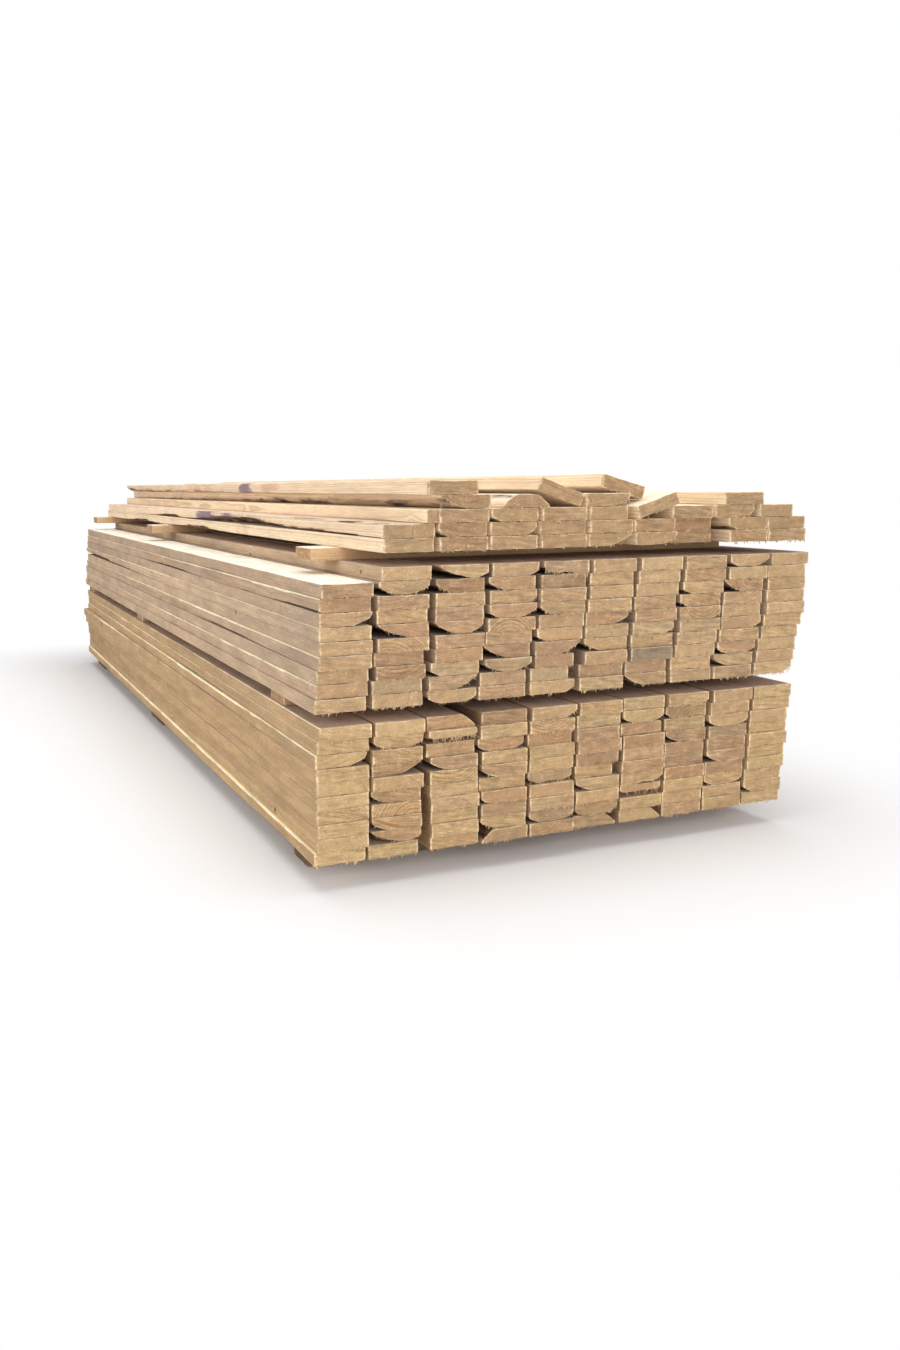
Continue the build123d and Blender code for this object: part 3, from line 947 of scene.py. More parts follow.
def build_fringe(name, nodes, near, seed):
    """Return the splinters of one pack's ends as one piece, kept inside the box of the stack."""
    rng = np.random.default_rng(seed)
    points, quads, triangles = splinters(rng, *end_fringe(rng, nodes, near))
    points = np.clip(points, np.array(cad_box[0]) + BOX_MARGIN, np.array(cad_box[1]) - BOX_MARGIN)
    slots = np.zeros(len(quads) + len(triangles), int)
    return mesh_object(name, points, quads, triangles, slots, {}, smooth=False)


fringes = {}
for seed, word in enumerate(("lower_layer", "middle_layer", "loose")):
    short = word.split("_")[0]
    nodes = [name for name in frames_of if name.startswith(word)]
    for end in ("near", "far"):
        label = short + "_" + end + "_splinters"
        own_seed = seed + (FAR_SEED if end == "far" else 0)
        fringes[label] = (build_fringe(label, nodes, end == "near", own_seed), short)
print("splinters", {label: len(piece.data.vertices) // SPINDLE_POINTS
                     for label, (piece, _) in fringes.items()})
print("triangles in all", sum(counts) + sum(triangle_count(piece) for piece, _ in fringes.values()))

# %% [markdown]
# Wiring materials
# A material is a network of nodes. Small helpers keep the cells readable: they add a node with
# its settings, multiply and add values, take a vector apart, place a noise and mix colours.


# %% Helpers for node networks
def linear(red, green, blue):
    """Turn screen values from 0 to 255 into linear light: ((c + 0.055) / 1.055) to the power 2.4."""
    share = np.array([red, green, blue]) / 255
    light = np.where(share <= 0.04045, share / 12.92, ((share + 0.055) / 1.055) ** 2.4)
    return (*light.tolist(), 1.0)


def put(tree, socket, value):
    """Give a socket a number, a colour or a link."""
    if isinstance(value, bpy.types.NodeSocket):
        tree.links.new(value, socket)
    else:
        socket.default_value = value


def add(tree, kind, inputs=None, **settings):
    """Add a node of the given kind, set its properties and feed its inputs by name or number."""
    node = tree.nodes.new("ShaderNode" + kind)
    for key, value in settings.items():
        setattr(node, key, value)
    for key, value in (inputs or {}).items():
        put(tree, node.inputs[key], value)
    return node


def calc(tree, operation, *values, clamp=False):
    """Return the result of one sum on numbers or sockets."""
    node = add(tree, "Math", dict(enumerate(values)), operation=operation, use_clamp=clamp)
    return node.outputs[0]


def times(tree, first, *others):
    """Return the product of several values."""
    for other in others:
        first = calc(tree, "MULTIPLY", first, other)
    return first


def plus(tree, first, *others):
    """Return the sum of several values."""
    for other in others:
        first = calc(tree, "ADD", first, other)
    return first


def less(tree, first, second, clamp=False):
    """Return the first value less the second."""
    return calc(tree, "SUBTRACT", first, second, clamp=clamp)


def ramp(tree, value, low, high, to_low=0.0, to_high=1.0, smooth=True):
    """Return a value carried from one range to another, kept inside it."""
    kind = "SMOOTHSTEP" if smooth else "LINEAR"
    inputs = {"Value": value, "From Min": low, "From Max": high, "To Min": to_low, "To Max": to_high}
    return add(tree, "MapRange", inputs, interpolation_type=kind).outputs[0]


print("mid grey in linear light", round(linear(128, 128, 128)[0], 3))


# %% Helpers for vectors, noise and colours
def move(tree, operation, first, *second):
    """Return the result of one sum on vectors."""
    return add(tree, "VectorMath", dict(enumerate((first, *second))), operation=operation).outputs[0]


def length_of(tree, vector):
    """Return the length of a vector."""
    return add(tree, "VectorMath", {0: vector}, operation="LENGTH").outputs["Value"]


def axes(tree, vector):
    """Return the three numbers of a vector."""
    return add(tree, "SeparateXYZ", {0: vector}).outputs


def vector_of(tree, *numbers):
    """Return the vector of up to three numbers."""
    return add(tree, "CombineXYZ", dict(enumerate(numbers))).outputs[0]


def noise(tree, place, scale, detail, roughness=0.5, distortion=0.0):
    """Return a noise over a place, around 0.5, with a scale in patches a metre."""
    inputs = {"Vector": place, "Scale": scale, "Detail": detail, "Roughness": roughness,
              "Distortion": distortion}
    return add(tree, "TexNoise", inputs).outputs["Fac"]


def line_noise(tree, value, scale, detail):
    """Return a noise along one number."""
    inputs = {"W": value, "Scale": scale, "Detail": detail}
    return add(tree, "TexNoise", inputs, noise_dimensions="1D").outputs["Fac"]


def blend(tree, share, first, second, mode="MIX"):
    """Return two colours mixed by a share, or combined in another mode."""
    node = add(tree, "Mix", data_type="RGBA", blend_type=mode)
    put(tree, node.inputs["Factor"], share)
    put(tree, node.inputs["A"], first)
    put(tree, node.inputs["B"], second)
    return node.outputs["Result"]


def layered(tree, colour, *layers):
    """Return a colour with layers mixed over it in turn, each a share and a colour."""
    for share, shade in layers:
        colour = blend(tree, share, colour, shade)
    return colour


def new_group(name, inputs, outputs):
    """Return an empty node group with named number or vector sockets, and its two ends."""
    kinds = {"value": "NodeSocketFloat", "vector": "NodeSocketVector"}
    tree = bpy.data.node_groups.new(name, "ShaderNodeTree")
    for label, (kind, default) in inputs.items():
        socket = tree.interface.new_socket(label, in_out="INPUT", socket_type=kinds[kind])
        if default is not None:
            socket.default_value = default
    for label in outputs:
        tree.interface.new_socket(label, in_out="OUTPUT", socket_type=kinds["value"])
    return tree, tree.nodes.new("NodeGroupInput").outputs, tree.nodes.new("NodeGroupOutput").inputs


def give(tree, result, values):
    """Link a group's values to its named outputs."""
    for label, value in values.items():
        put(tree, result[label], value)


print("helpers ready for vectors, noises, colours and groups")

# %% [markdown]
# Growth rings and knots
# A ring is a place at one distance from the pith, so the distance divided by the ring width,
# less its whole part, runs once through each year: pale early wood, then a darker line of late
# wood. A knot is a branch, a body drawn out from the pith. Scattered cells over the length and
# the direction around the pith give each branch its place, and the rings swing around it.

# %% Knots from scattered cells
CELL_TURN = 0.8
CELL_SCATTER = 0.85
KNOT_CHANCE = 0.5
BRANCH_START, BRANCH_START_SPREAD = 0.03, 0.14
BRANCH_DRAWN = 0.4
LEAST_KNOT, KNOT_GROWTH = 0.004, 0.13
KNOT_EDGE, KNOT_RIM = 0.0015, 0.004
KNOT_WOBBLE = 0.01
SWING, SWING_FADE = 0.014, -45.0


def knot_masks(tree, spacing, radius, turn, along, warp):
    """Return the masks of knots and of their rims, and how far they swing the rings.

    The distance to a branch is the length of the way along the board, the arc around the pith
    and a share of the way outward, which draws the knot out. Beyond its size the knot ends.
    """
    cell_place = vector_of(tree, calc(tree, "DIVIDE", along, spacing), times(tree, turn, CELL_TURN))
    cells = add(tree, "TexVoronoi", {"Vector": cell_place, "Scale": 1.0, "Randomness": CELL_SCATTER},
                voronoi_dimensions="2D").outputs
    apart = axes(tree, move(tree, "SUBTRACT", cell_place, cells["Position"]))
    chance = add(tree, "SeparateColor", {0: cells["Color"]}).outputs
    run = times(tree, apart[0], spacing)
    arc = times(tree, calc(tree, "DIVIDE", apart[1], CELL_TURN), radius)
    start = plus(tree, times(tree, chance[1], BRANCH_START_SPREAD), BRANCH_START)
    outward = times(tree, less(tree, radius, start), BRANCH_DRAWN)
    distance = length_of(tree, vector_of(tree, run, arc, outward))
    size = times(tree, ramp(tree, chance[0], 0.45, 1.0, smooth=False),
                 plus(tree, times(tree, radius, KNOT_GROWTH), LEAST_KNOT))
    there = calc(tree, "GREATER_THAN", chance[0], KNOT_CHANCE)
    wobble = times(tree, less(tree, warp, 0.5), KNOT_WOBBLE)
    edge = less(tree, plus(tree, distance, wobble), size)
    knot = times(tree, ramp(tree, edge, KNOT_EDGE, -KNOT_EDGE), there)
    rim = times(tree, ramp(tree, calc(tree, "ABSOLUTE", edge), KNOT_RIM, 0.0), there)
    swing = times(tree, calc(tree, "EXPONENT", times(tree, distance, SWING_FADE)), SWING)
    return knot, rim, times(tree, swing, there)


print("share of cells with a knot", 1 - KNOT_CHANCE)

# %% Rings and the growth group
RING_WARP = 0.016
UNEVEN_YEARS = 1.6
LATE_POWER = 2.6
WINTER = 0.93
RING_STRETCH = (1.0, 1.0, 0.09)
FIBRE_STRETCH = (1.0, 1.0, 0.02)


def late_wood(tree, ring_width, radius, warp, swing):
    """Return the mask of late wood: the share of a year that has gone, to a power, until winter."""
    bent = plus(tree, radius, times(tree, less(tree, warp, 0.5), RING_WARP), swing)
    years = calc(tree, "DIVIDE", bent, ring_width)
    years = plus(tree, years, times(tree, line_noise(tree, years, 0.45, 1.0), UNEVEN_YEARS))
    season = calc(tree, "FRACT", years)
    return times(tree, calc(tree, "POWER", season, LATE_POWER), ramp(tree, season, 1.0, WINTER))


def build_growth_group():
    """Return the group that turns a place in the log into masks of rings, knots and fibre."""
    tree, given, result = new_group(
        "log_growth",
        {"Log": ("vector", None), "Ring Width": ("value", 0.005), "Knot Spacing": ("value", 0.7)},
        ("Late Wood", "Slow Tone", "Knot", "Knot Rim", "Fibre"))
    x, y, along = axes(tree, given["Log"])
    stretch = move(tree, "MULTIPLY", given["Log"], RING_STRETCH)
    warp = noise(tree, stretch, 7.0, 3.0)
    radius = calc(tree, "SQRT", plus(tree, times(tree, x, x), times(tree, y, y)))
    turn = calc(tree, "ARCTAN2", y, x)
    knot, rim, swing = knot_masks(tree, given["Knot Spacing"], radius, turn, along, warp)
    thread = move(tree, "MULTIPLY", given["Log"], FIBRE_STRETCH)
    give(tree, result, {
        "Late Wood": late_wood(tree, given["Ring Width"], radius, warp, swing),
        "Slow Tone": noise(tree, stretch, 2.2, 2.0), "Knot": knot, "Knot Rim": rim,
        "Fibre": noise(tree, thread, 420.0, 3.0)})
    return tree


growth_group = build_growth_group()
print("growth group nodes", len(growth_group.nodes))

# %% [markdown]
# Saw marks and fuzz
# A band saw leaves shallow lines square to the board, a few millimetres apart and a little
# uneven, with broader bands where the feed changed. Torn fibres stand up as fuzz between them.

# %% Build the saw group
FULL_TURN = 6.2832
MARK_LEAN = 0.12
MARK_JITTER = 3.0
LINE_HEIGHT, FUZZ_HEIGHT = 0.05, 1.1
BAND_STRETCH = (1.6, 1.6, 0.4)


def build_saw_group():
    """Return the group that gives the height and the shade of saw marks along a board."""
    tree, given, result = new_group(
        "saw_marks", {"Log": ("vector", None), "Mark Spacing": ("value", 0.006)},
        ("Height", "Band", "Fuzz"))
    _, up, along = axes(tree, given["Log"])
    lean = plus(tree, along, times(tree, up, MARK_LEAN))
    jitter = line_noise(tree, lean, 22.0, 2.0)
    marks = calc(tree, "DIVIDE", lean, given["Mark Spacing"])
    phase = plus(tree, marks, times(tree, jitter, MARK_JITTER))
    line = times(tree, calc(tree, "SINE", times(tree, phase, FULL_TURN)), jitter)
    band = noise(tree, move(tree, "MULTIPLY", given["Log"], BAND_STRETCH), 10.0, 6.0, distortion=0.5)
    fuzz = noise(tree, given["Log"], 260.0, 4.0, roughness=0.7)
    height = plus(tree, times(tree, line, LINE_HEIGHT), times(tree, fuzz, FUZZ_HEIGHT))
    give(tree, result, {"Height": height, "Band": band, "Fuzz": fuzz})
    return tree


saw_group = build_saw_group()
print("saw group nodes", len(saw_group.nodes))

# %% [markdown]
# Weather and painted light
# Faces that look up to an open sky bleach to a pale cream, which also paints the light from above
# on tops and a thin highlight along upper arrises. Tops under other boards get a painted shade,
# and undersides a paler painted colour that lifts their shade. Older faces go grey in patches. All
# three are masks: two from the direction that a face looks in, and the third from slow noise over
# the stack.

# %% Build the weather and light group
SKY_FACING = (0.45, 0.95)
DOWN_FACING = (-0.9, -0.98)
SKY_GRAIN = 0.3
PATCH_STRETCH = (1.0, 0.4, 2.5)


def build_weather_and_light_group():
    """Return masks of upward and sheltered faces, where light and shade are painted, and grey patches."""
    tree, given, result = new_group(
        "weather_and_light", {"Patches": ("value", 0.4)}, ("Upward", "Grey", "Sheltered"))
    place = add(tree, "TexCoord").outputs["Object"]
    facing = axes(tree, add(tree, "NewGeometry").outputs["Normal"])[2]
    patch = noise(tree, move(tree, "MULTIPLY", place, PATCH_STRETCH), 2.4, 5.0, roughness=0.6)
    grain = noise(tree, place, 55.0, 4.0)
    ragged = plus(tree, facing, times(tree, less(tree, grain, 0.5), SKY_GRAIN))
    give(tree, result, {
        "Upward": ramp(tree, ragged, *SKY_FACING), "Sheltered": ramp(tree, facing, *DOWN_FACING),
        "Grey": times(tree, ramp(tree, patch, 0.45, 0.7), given["Patches"])})
    return tree


weather_and_light_group = build_weather_and_light_group()
print("weather group nodes", len(weather_and_light_group.nodes))

# %% [markdown]
# The colour starts between a yellower and a pinker pale wood, chosen by the board's warmth. Late
# wood darkens it in lines, then come patches of grey, blue stain and knots. Open tops bleach and
# take a painted light from above, covered tops a painted shade, and undersides a paler painted
# colour that lifts their shade. Last come the marks that the mesh carries: a painted highlight on
# ledges, bark on the wane that also paints the shade of voids and hollows, pink wood and blue bark.
# Fibre, saw bands and fuzz shade the whole. Every family of boards has this one recipe with its own
# colours.

# %% What every board material starts from
CREAM = linear(253, 244, 226)
LATE_WOOD = linear(150, 104, 64)
GREY = linear(142, 128, 114)
CENTIMETRE = 0.01


def new_material(name, gloss):
    """Return a new material, its tree and its shader, with the shader's own level of gloss."""
    material = bpy.data.materials.new(name)
    material.use_nodes = True
    shader = material.node_tree.nodes["Principled BSDF"]
    shader.inputs["Specular IOR Level"].default_value = gloss
    return material, material.node_tree, shader


def channels(tree, name):
    """Return the four numbers of a colour attribute."""
    node = add(tree, "Attribute", attribute_name=name)
    return [*add(tree, "SeparateColor", {0: node.outputs["Color"]}).outputs, node.outputs["Alpha"]]


def board_inputs(tree):
    """Return what a board gives its material: place in the log, tone, look, marks and growth."""
    log = add(tree, "Attribute", attribute_name="log").outputs["Vector"]
    tone, look, marks = [channels(tree, name) for name in ("tone", "look", "marks")]
    growth = add(tree, "Group", node_tree=growth_group)
    put(tree, growth.inputs["Log"], log)
    put(tree, growth.inputs["Ring Width"], times(tree, tone[3], CENTIMETRE))
    return log, tone, look, marks, growth.outputs


def shaded(tree, colour, *shades):
    """Return a colour times several shades."""
    total = times(tree, *shades)
    grey = add(tree, "CombineColor", {0: total, 1: total, 2: total}).outputs[0]
    return blend(tree, 1.0, colour, grey, "MULTIPLY")


def level(tree, value, low, high):
    """Return a shade between two levels, from the middle part of a noise."""
    return ramp(tree, value, 0.3, 0.7, low, high, smooth=False)


def finish_shader(tree, shader, colour, roughness, height, depth, strength):
    """Feed a shader its colour, its roughness, and the bump of a height of this depth in metres."""
    bump = add(tree, "Bump", {"Strength": strength, "Distance": depth, "Height": height})
    put(tree, shader.inputs["Base Color"], colour)
    put(tree, shader.inputs["Roughness"], roughness)
    put(tree, shader.inputs["Normal"], bump.outputs[0])


print("shared colours", len((CREAM, LATE_WOOD, GREY)))

# %% Make the materials of the long faces
KNOT = linear(96, 62, 38)
# Bark and cambium of the wane, darker than bark alone so that they also paint the shade in voids and under
# waned corners.
BARK_AND_VOID_SHADE = linear(66, 50, 46)
CAMBIUM_AND_VOID_SHADE = linear(132, 96, 70)
BLUE_BARK = linear(118, 94, 116)
PINK_WOOD = linear(208, 158, 140)
# Painted light: a paler colour on downward faces that lifts their shade under the boards and in the gaps.
UNDERSIDE_FILL = linear(230, 211, 200)
# Painted shade on tops that lie under other boards, as in the gaps between the packs.
COVERED_SHADE = linear(192, 167, 154)
# Painted highlight: a near-white cream on the worn ledges of upper arrises, for the strong light they
# catch.
LEDGE_HIGHLIGHT = linear(255, 242, 204)
BARK_STRETCH = (1.0, 1.0, 0.25)
SAW_DEPTH = 0.0012
FACE_GLOSS = 0.25


def wood_weather_and_light(tree, board, weather_and_light, palette):
    """Return a long face's colour before its marks: rings, stain, knots, weather, painted light and shade.
    """
    yellow, pink, bleached_and_lit, ring_depth, bleach_and_light = palette
    _, tone, look, _, growth = board
    # painted shade on upward faces that the look marks as covered
    covered_shade = times(tree, weather_and_light["Upward"], less(tree, 1.0, look[3], clamp=True))
    # painted light: the cream of open tops also stands for the light from above on them
    bleach_and_top_light = times(tree, weather_and_light["Upward"], times(tree, look[3], bleach_and_light))
    return layered(
        tree, blend(tree, tone[1], yellow, pink),
        (times(tree, growth["Late Wood"], ring_depth), LATE_WOOD),
        (weather_and_light["Grey"], GREY),
        (times(tree, tone[2], 0.8), GREY),
        (times(tree, growth["Knot Rim"], 0.6), KNOT),
        (times(tree, growth["Knot"], 0.85), KNOT),
        (bleach_and_top_light, bleached_and_lit),
        (times(tree, covered_shade, 0.8), COVERED_SHADE),
        # painted light on downward faces
        (times(tree, weather_and_light["Sheltered"], 0.6), UNDERSIDE_FILL))


def marked(tree, colour, log, marks):
    """Return a colour with marks laid over it, ragged at the edges: a painted highlight on ledges,
    bark that also paints the shade of voids and hollows, pink wood and blue bark.
    """
    blue, rosy, wane, _ = marks
    patch = noise(tree, move(tree, "MULTIPLY", log, BARK_STRETCH), 20.0, 4.0)
    ragged = level(tree, patch, 0.35, 1.65)
    # bark of the wane, darkened so that it also paints the shade of voids
    bark = blend(tree, ramp(tree, patch, 0.44, 0.56), CAMBIUM_AND_VOID_SHADE, BARK_AND_VOID_SHADE)
    # painted highlight on the faces of a ledge plane
    ledge_highlight = add(tree, "Attribute", attribute_name="ledge_highlight").outputs["Fac"]
    for mark, share, shade in ((ledge_highlight, 0.85, LEDGE_HIGHLIGHT), (wane, 1.0, bark), (rosy, 0.6, PINK_WOOD),
                               (blue, 0.85, BLUE_BARK)):
        mask = ramp(tree, times(tree, mark, ragged), 0.3, 0.75, 0.0, share)
        colour = blend(tree, mask, colour, shade)
    return colour


def long_face_material(name, palette, patches, band_depth):
    """Return the material of long faces, made of the shared groups and a palette of its own."""
    material, tree, shader = new_material(name, FACE_GLOSS)
    board = board_inputs(tree)
    log, tone, _, marks, growth = board
    saw = add(tree, "Group", {"Log": log}, node_tree=saw_group).outputs
    weather_and_light = add(tree, "Group", {"Patches": patches}, node_tree=weather_and_light_group).outputs
    colour = marked(tree, wood_weather_and_light(tree, board, weather_and_light, palette), log, marks)
    specks = noise(tree, log, 120.0, 2.0)
    colour = blend(tree, ramp(tree, specks, 0.60, 0.72, 0.0, 0.35), colour, CREAM)
    colour = shaded(tree, colour, level(tree, growth["Slow Tone"], 0.89, 1.09), tone[0],
                    level(tree, growth["Fibre"], 0.87, 1.10),
                    level(tree, saw["Band"], 1 - band_depth, 1 + band_depth),
                    level(tree, saw["Fuzz"], 0.82, 1.16))
    height = plus(tree, saw["Height"], times(tree, growth["Late Wood"], 0.5))
    finish_shader(tree, shader, colour, level(tree, saw["Fuzz"], 0.82, 0.95), height, SAW_DEPTH, 0.5)
    return material


# Each palette: yellow and pink wood, the colour of bleach and painted light on open tops, ring depth, and
# the share of that colour.
PALETTES = {
    "lower": (linear(188, 157, 114), linear(177, 142, 108), linear(252, 232, 188), 0.50, 0.92),
    "middle": (linear(200, 174, 142), linear(186, 158, 131), CREAM, 0.45, 0.94),
    # The loose heap's long faces are painted lighter than the packs', standing for the stronger light on
    # the heap.
    "loose": (linear(250, 227, 192), linear(244, 214, 183), linear(252, 238, 212), 0.45, 0.85),
    "sticker": (linear(222, 188, 146), linear(218, 178, 140), CREAM, 0.35, 0.8),
    "bearer": (linear(118, 96, 76), linear(104, 84, 70), GREY, 0.5, 0.4),
}
PATCHES_AND_BANDS = {"lower": (0.15, 0.15), "middle": (0.40, 0.16), "loose": (0.05, 0.10),
                     "sticker": (0.1, 0.06), "bearer": (0.6, 0.10)}
long_faces = {word: long_face_material(word + "_long_faces", palette, *PATCHES_AND_BANDS[word])
              for word, palette in PALETTES.items()}
print("long face materials", sorted(long_faces))

# %% [markdown]
# The ends
# End grain drinks light, so an end is a little darker and duller than a face. The cross-cut saw
# leaves fine streaks across it, which lean differently on each board, and the rings show as
# arcs. Thin checks open from the pith, bark-side wood is mottled brown, and torn fibres catch
# the light as cream specks. A ragged cream line along the rim of each end is a painted highlight.

# %% Streaks and checks of an end
CHECK = linear(100, 70, 46)
BROWN = linear(148, 110, 82)
# Cream of torn fibres in the light, also used as the painted highlight along the rims of the ends.
SPECK = linear(240, 216, 176)
OLD_SPECK = linear(146, 122, 98)
STREAK_LEAN = 0.22
STREAK_LENGTHEN, STREAK_SLOW = 0.13, 0.3
CHECK_TURN = 5.0
CHECK_CELLS = 2.2
END_DEPTH = 0.0018
END_GLOSS = 0.15


def saw_streaks(tree, log_axes, look):
    """Return a noise drawn out across the end, along a line that leans as the board's look says."""
    across, up, along = log_axes
    lean = times(tree, ramp(tree, look[2], 0.0, 1.0, -STREAK_LEAN, STREAK_LEAN, False), across)
    sheared = vector_of(tree, times(tree, across, STREAK_LENGTHEN), plus(tree, up, lean),
                        times(tree, along, STREAK_SLOW))
    return noise(tree, sheared, 90.0, 4.0, roughness=0.65)


def check_mask(tree, log_axes, mottle):
    """Return the mask of checks: edges of cells over the direction around the pith, here and there."""
    across, up, along = log_axes
    turn = calc(tree, "ARCTAN2", up, across)
    ray = vector_of(tree, times(tree, turn, CHECK_TURN), along)
    edge = add(tree, "TexVoronoi", {"Vector": ray, "Scale": CHECK_CELLS}, voronoi_dimensions="2D",
               feature="DISTANCE_TO_EDGE").outputs["Distance"]
    return times(tree, ramp(tree, edge, 0.03, 0.0), ramp(tree, mottle, 0.56, 0.62))


print("streaks lean up to", STREAK_LEAN, "either way")

# %% Make the materials of the ends
def end_material(name, yellow, pink, ring_depth, speck=SPECK):
    """Return the material of board ends: arcs, saw streaks, checks, specks and a painted rim highlight."""
    material, tree, shader = new_material(name, END_GLOSS)
    log, tone, look, marks, growth = board_inputs(tree)
    log_axes = axes(tree, log)
    streak = saw_streaks(tree, log_axes, look)
    mottle = noise(tree, log, 34.0, 5.0, roughness=0.65)
    clouds = noise(tree, log, 11.0, 4.0, distortion=0.6)
    fuzz = noise(tree, log, 190.0, 4.0, roughness=0.7)
    crack = check_mask(tree, log_axes, mottle)
    specks = ramp(tree, noise(tree, log, 150.0, 2.0), 0.59, 0.69)
    specks = times(tree, specks, ramp(tree, mottle, 0.5, 0.6))
    ring_share = times(tree, ramp(tree, look[0], 0.0, 1.0, 0.3, 1.0, False), ring_depth)
    # painted highlight: cream laid on the outer rings of each end, broken up by the mottle
    rim = times(tree, ramp(tree, marks[3], 0.90, 0.99), ramp(tree, mottle, 0.40, 0.60, 0.2, 0.95))
    colour = layered(
        tree, blend(tree, tone[1], yellow, pink),
        (times(tree, growth["Late Wood"], ring_share), LATE_WOOD),
        (times(tree, ramp(tree, clouds, 0.42, 0.62), times(tree, look[1], 0.42)), BROWN),
        (times(tree, tone[2], 0.85), GREY),
        (times(tree, crack, 0.5), CHECK),
        (times(tree, specks, 0.45), speck),
        (rim, speck))
    plain_share = ramp(tree, look[2], 0.15, 0.5, 0.7, 0.0, False)
    streaked = times(tree, level(tree, streak, 0.70, 1.25), less(tree, 1.0, plain_share))
    colour = shaded(tree, colour, plus(tree, streaked, plain_share), tone[0],
                    level(tree, mottle, 0.83, 1.15), level(tree, fuzz, 0.80, 1.16))
    height = plus(tree, times(tree, streak, 1.2), times(tree, fuzz, 0.8))
    height = less(tree, height, times(tree, crack, 1.5))
    finish_shader(tree, shader, colour, level(tree, fuzz, 0.85, 0.97), height, END_DEPTH, 0.7)
    return material


ENDS_OF = {
    "lower": (linear(200, 172, 127), linear(188, 152, 116), 0.9),
    "middle": (linear(196, 167, 126), linear(184, 149, 116), 0.9),
    "loose": (linear(178, 150, 114), linear(171, 139, 107), 0.8),
    "sticker": (linear(186, 150, 112), linear(178, 142, 108), 0.4),
    "bearer": (linear(110, 92, 74), linear(98, 80, 66), 0.5, OLD_SPECK),
}
ends = {word: end_material(word + "_ends", *values) for word, values in ENDS_OF.items()}
print("end materials", sorted(ends))

# %% Make the material of the splinters
SHADED_FIBRE = 0.62
PLAIN_GLOSS = 0.5


def splinter_material(name, colour):
    """Return the pale, dry material of torn fibres."""
    material, tree, shader = new_material(name, PLAIN_GLOSS)
    patches = noise(tree, add(tree, "TexCoord").outputs["Object"], 160.0, 2.0)
    darker = tuple(c * SHADED_FIBRE for c in colour[:3]) + (1.0,)
    put(tree, shader.inputs["Base Color"], blend(tree, ramp(tree, patches, 0.35, 0.65), darker, colour))
    put(tree, shader.inputs["Roughness"], ramp(tree, patches, 0.3, 0.7, 0.85, 0.97))
    return material


SPLINTER_COLOURS = {"lower": linear(216, 184, 140), "middle": linear(210, 178, 138),
                    "loose": linear(216, 184, 140)}
splinter_faces = {word: splinter_material(word + "_splinters", colour)
                  for word, colour in SPLINTER_COLOURS.items()}
print("splinter materials", sorted(splinter_faces))

# %% [markdown]
# Dressing the nodes
# Each skin stands for its node, hides the node's solid, and rides with the one body of the stack.
# The splinters stand for nothing in the frame, so they only ride.


# %% Hand the pieces to the frame
def family(name):
    """Return which palette a node takes: its pack, or what it is."""
    for word in ("sticker", "bearer", "lower", "middle"):
        if word in name:
            return word
    return "loose"


for name, piece in skins.items():
    piece.data.materials.append(long_faces[family(name)])
    piece.data.materials.append(ends[family(name)])
    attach(piece, "root")
    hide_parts(name)
for name, (piece, short) in fringes.items():
    piece.data.materials.append(splinter_faces[short])
    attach(piece, "root")
print("dressed", len(skins) + len(fringes))

# %% [markdown]
# Floor and light
# The floor is a large pale plane that keeps the stack's shadow and turns to plain white within
# 1.5 m of it, and the world behind it is white to the camera, in gloss and through glass.
# Daylight under a bright sky is soft and comes mostly from above, with more of it from the front
# and left, so one large lamp hangs above, one stands before the near ends and one at the left.
# Their level lets a colour render about as it is written.

# %% Lay the floor
FLOOR_REACH = 60.0
FLOOR_DROP = 0.0005
SHADOW_REACH = (0.03, 1.4)
WHITE = (1.0, 1.0, 1.0, 1.0)
PALE = (0.90, 0.905, 0.915, 1.0)


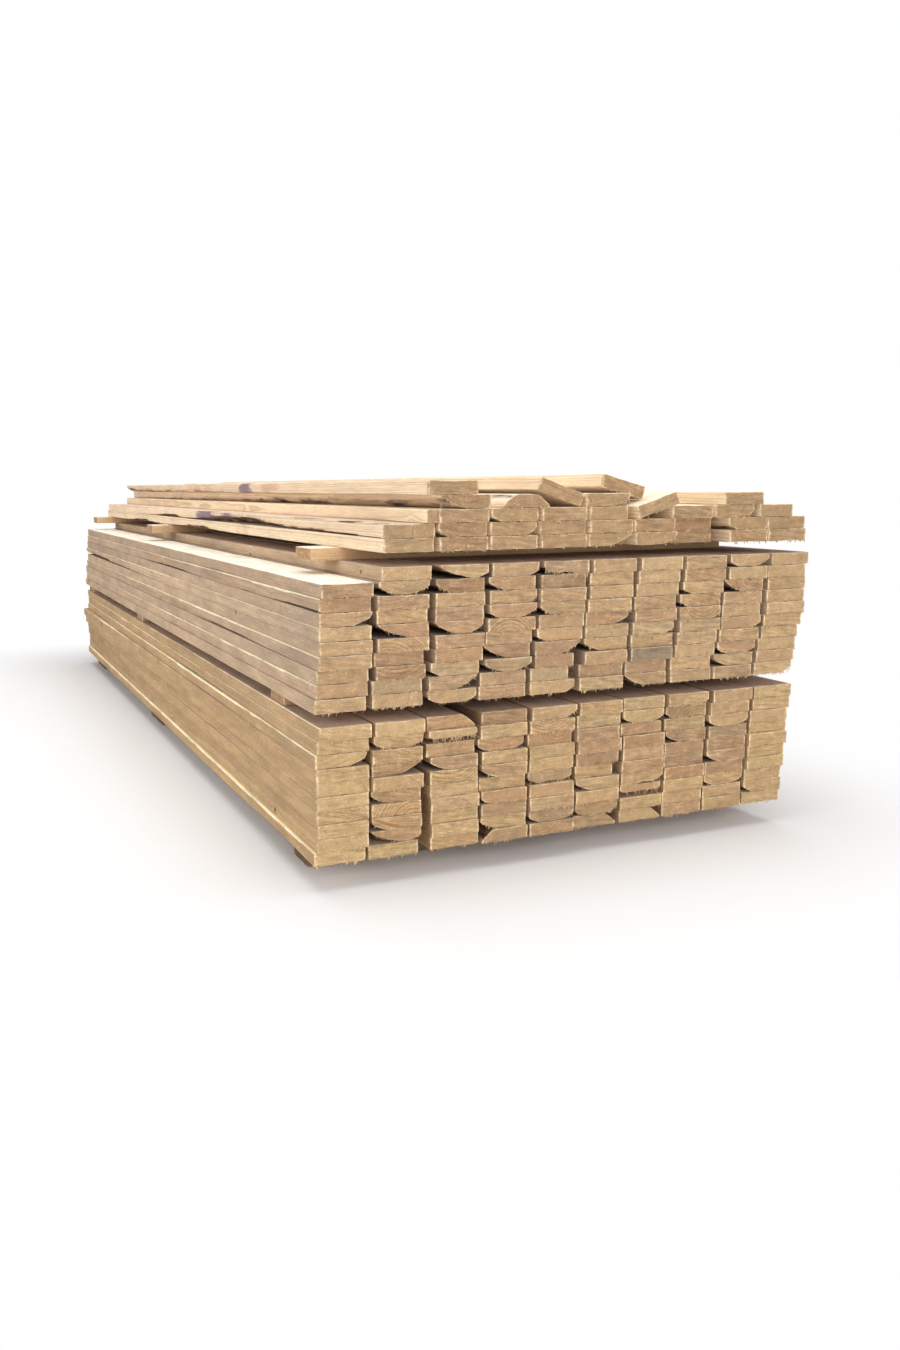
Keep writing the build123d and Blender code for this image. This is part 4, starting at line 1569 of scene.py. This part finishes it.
def floor_material():
    """Return a pale floor: plain diffuse, lifted to white for the camera away from the stack.

    The distance to the stack's rectangle is the length of what x and y have beyond its half sizes.
    """
    material, tree, shader = new_material("floor", 0.0)
    shader.inputs["Roughness"].default_value = 1.0
    shader.inputs["Base Color"].default_value = PALE
    half = (cad_box[1][0], cad_box[1][1], 0.0)
    outward = move(tree, "ABSOLUTE", add(tree, "TexCoord").outputs["Object"])
    beyond = move(tree, "MAXIMUM", move(tree, "SUBTRACT", outward, half), (0.0, 0.0, 0.0))
    glow = add(tree, "Emission", {"Color": WHITE, "Strength": 1.0})
    camera_ray = add(tree, "LightPath").outputs["Is Camera Ray"]
    share = times(tree, ramp(tree, length_of(tree, beyond), *SHADOW_REACH), camera_ray)
    mixed = add(tree, "MixShader", {0: share, 1: shader.outputs[0], 2: glow.outputs[0]})
    put(tree, tree.nodes["Material Output"].inputs["Surface"], mixed.outputs[0])
    return material


floor_mesh = bpy.data.meshes.new("floor")
floor_corners = [(x * FLOOR_REACH, y * FLOOR_REACH, -FLOOR_DROP)
                 for x, y in ((-1, -1), (1, -1), (1, 1), (-1, 1))]
floor_mesh.from_pydata(floor_corners, [], [(0, 1, 2, 3)])
floor = bpy.data.objects.new("floor", floor_mesh)
floor_mesh.materials.append(floor_material())
bpy.context.scene.collection.objects.link(floor)
print("floor reaches", FLOOR_REACH, "m each way")

# %% Set the lights
WORLD_FILL = 0.46
WARM_WHITE = (1.0, 0.985, 0.965, 1.0)


def lamp(name, place, aim, width, height, power):
    """Hang a rectangular lamp at a place, turned to its aim."""
    data = bpy.data.lights.new(name, "AREA")
    data.shape = "RECTANGLE"
    data.size = width
    data.size_y = height
    data.energy = power
    thing = bpy.data.objects.new(name, data)
    thing.location = place
    thing.rotation_euler = (Vector(aim) - Vector(place)).to_track_quat("-Z", "Y").to_euler()
    bpy.context.scene.collection.objects.link(thing)


lamp("sky", (0.0, -0.5, 6.5), (0.0, 0.0, 0.0), 7.0, 10.0, 400.0)
lamp("front", (-0.8, -10.0, 2.6), (0.0, -3.0, 0.7), 7.0, 4.0, 290.0)
lamp("left", (-8.5, -1.5, 2.2), (0.0, 0.0, 0.8), 8.0, 4.0, 228.0)

world = bpy.data.worlds.new("world")
bpy.context.scene.world = world
world.use_nodes = True
sky_tree = world.node_tree
background = sky_tree.nodes["Background"]
path = add(sky_tree, "LightPath").outputs
seen = calc(sky_tree, "MAXIMUM", path["Is Glossy Ray"], path["Is Transmission Ray"])
seen = calc(sky_tree, "MAXIMUM", path["Is Camera Ray"], seen)
put(sky_tree, background.inputs["Color"], blend(sky_tree, seen, WARM_WHITE, WHITE))
put(sky_tree, background.inputs["Strength"], ramp(sky_tree, seen, 0.0, 1.0, WORLD_FILL, 1.0, False))
print("lamps", len(bpy.data.lights), "and a world fill of", WORLD_FILL)

# %% Finish
print("finished")
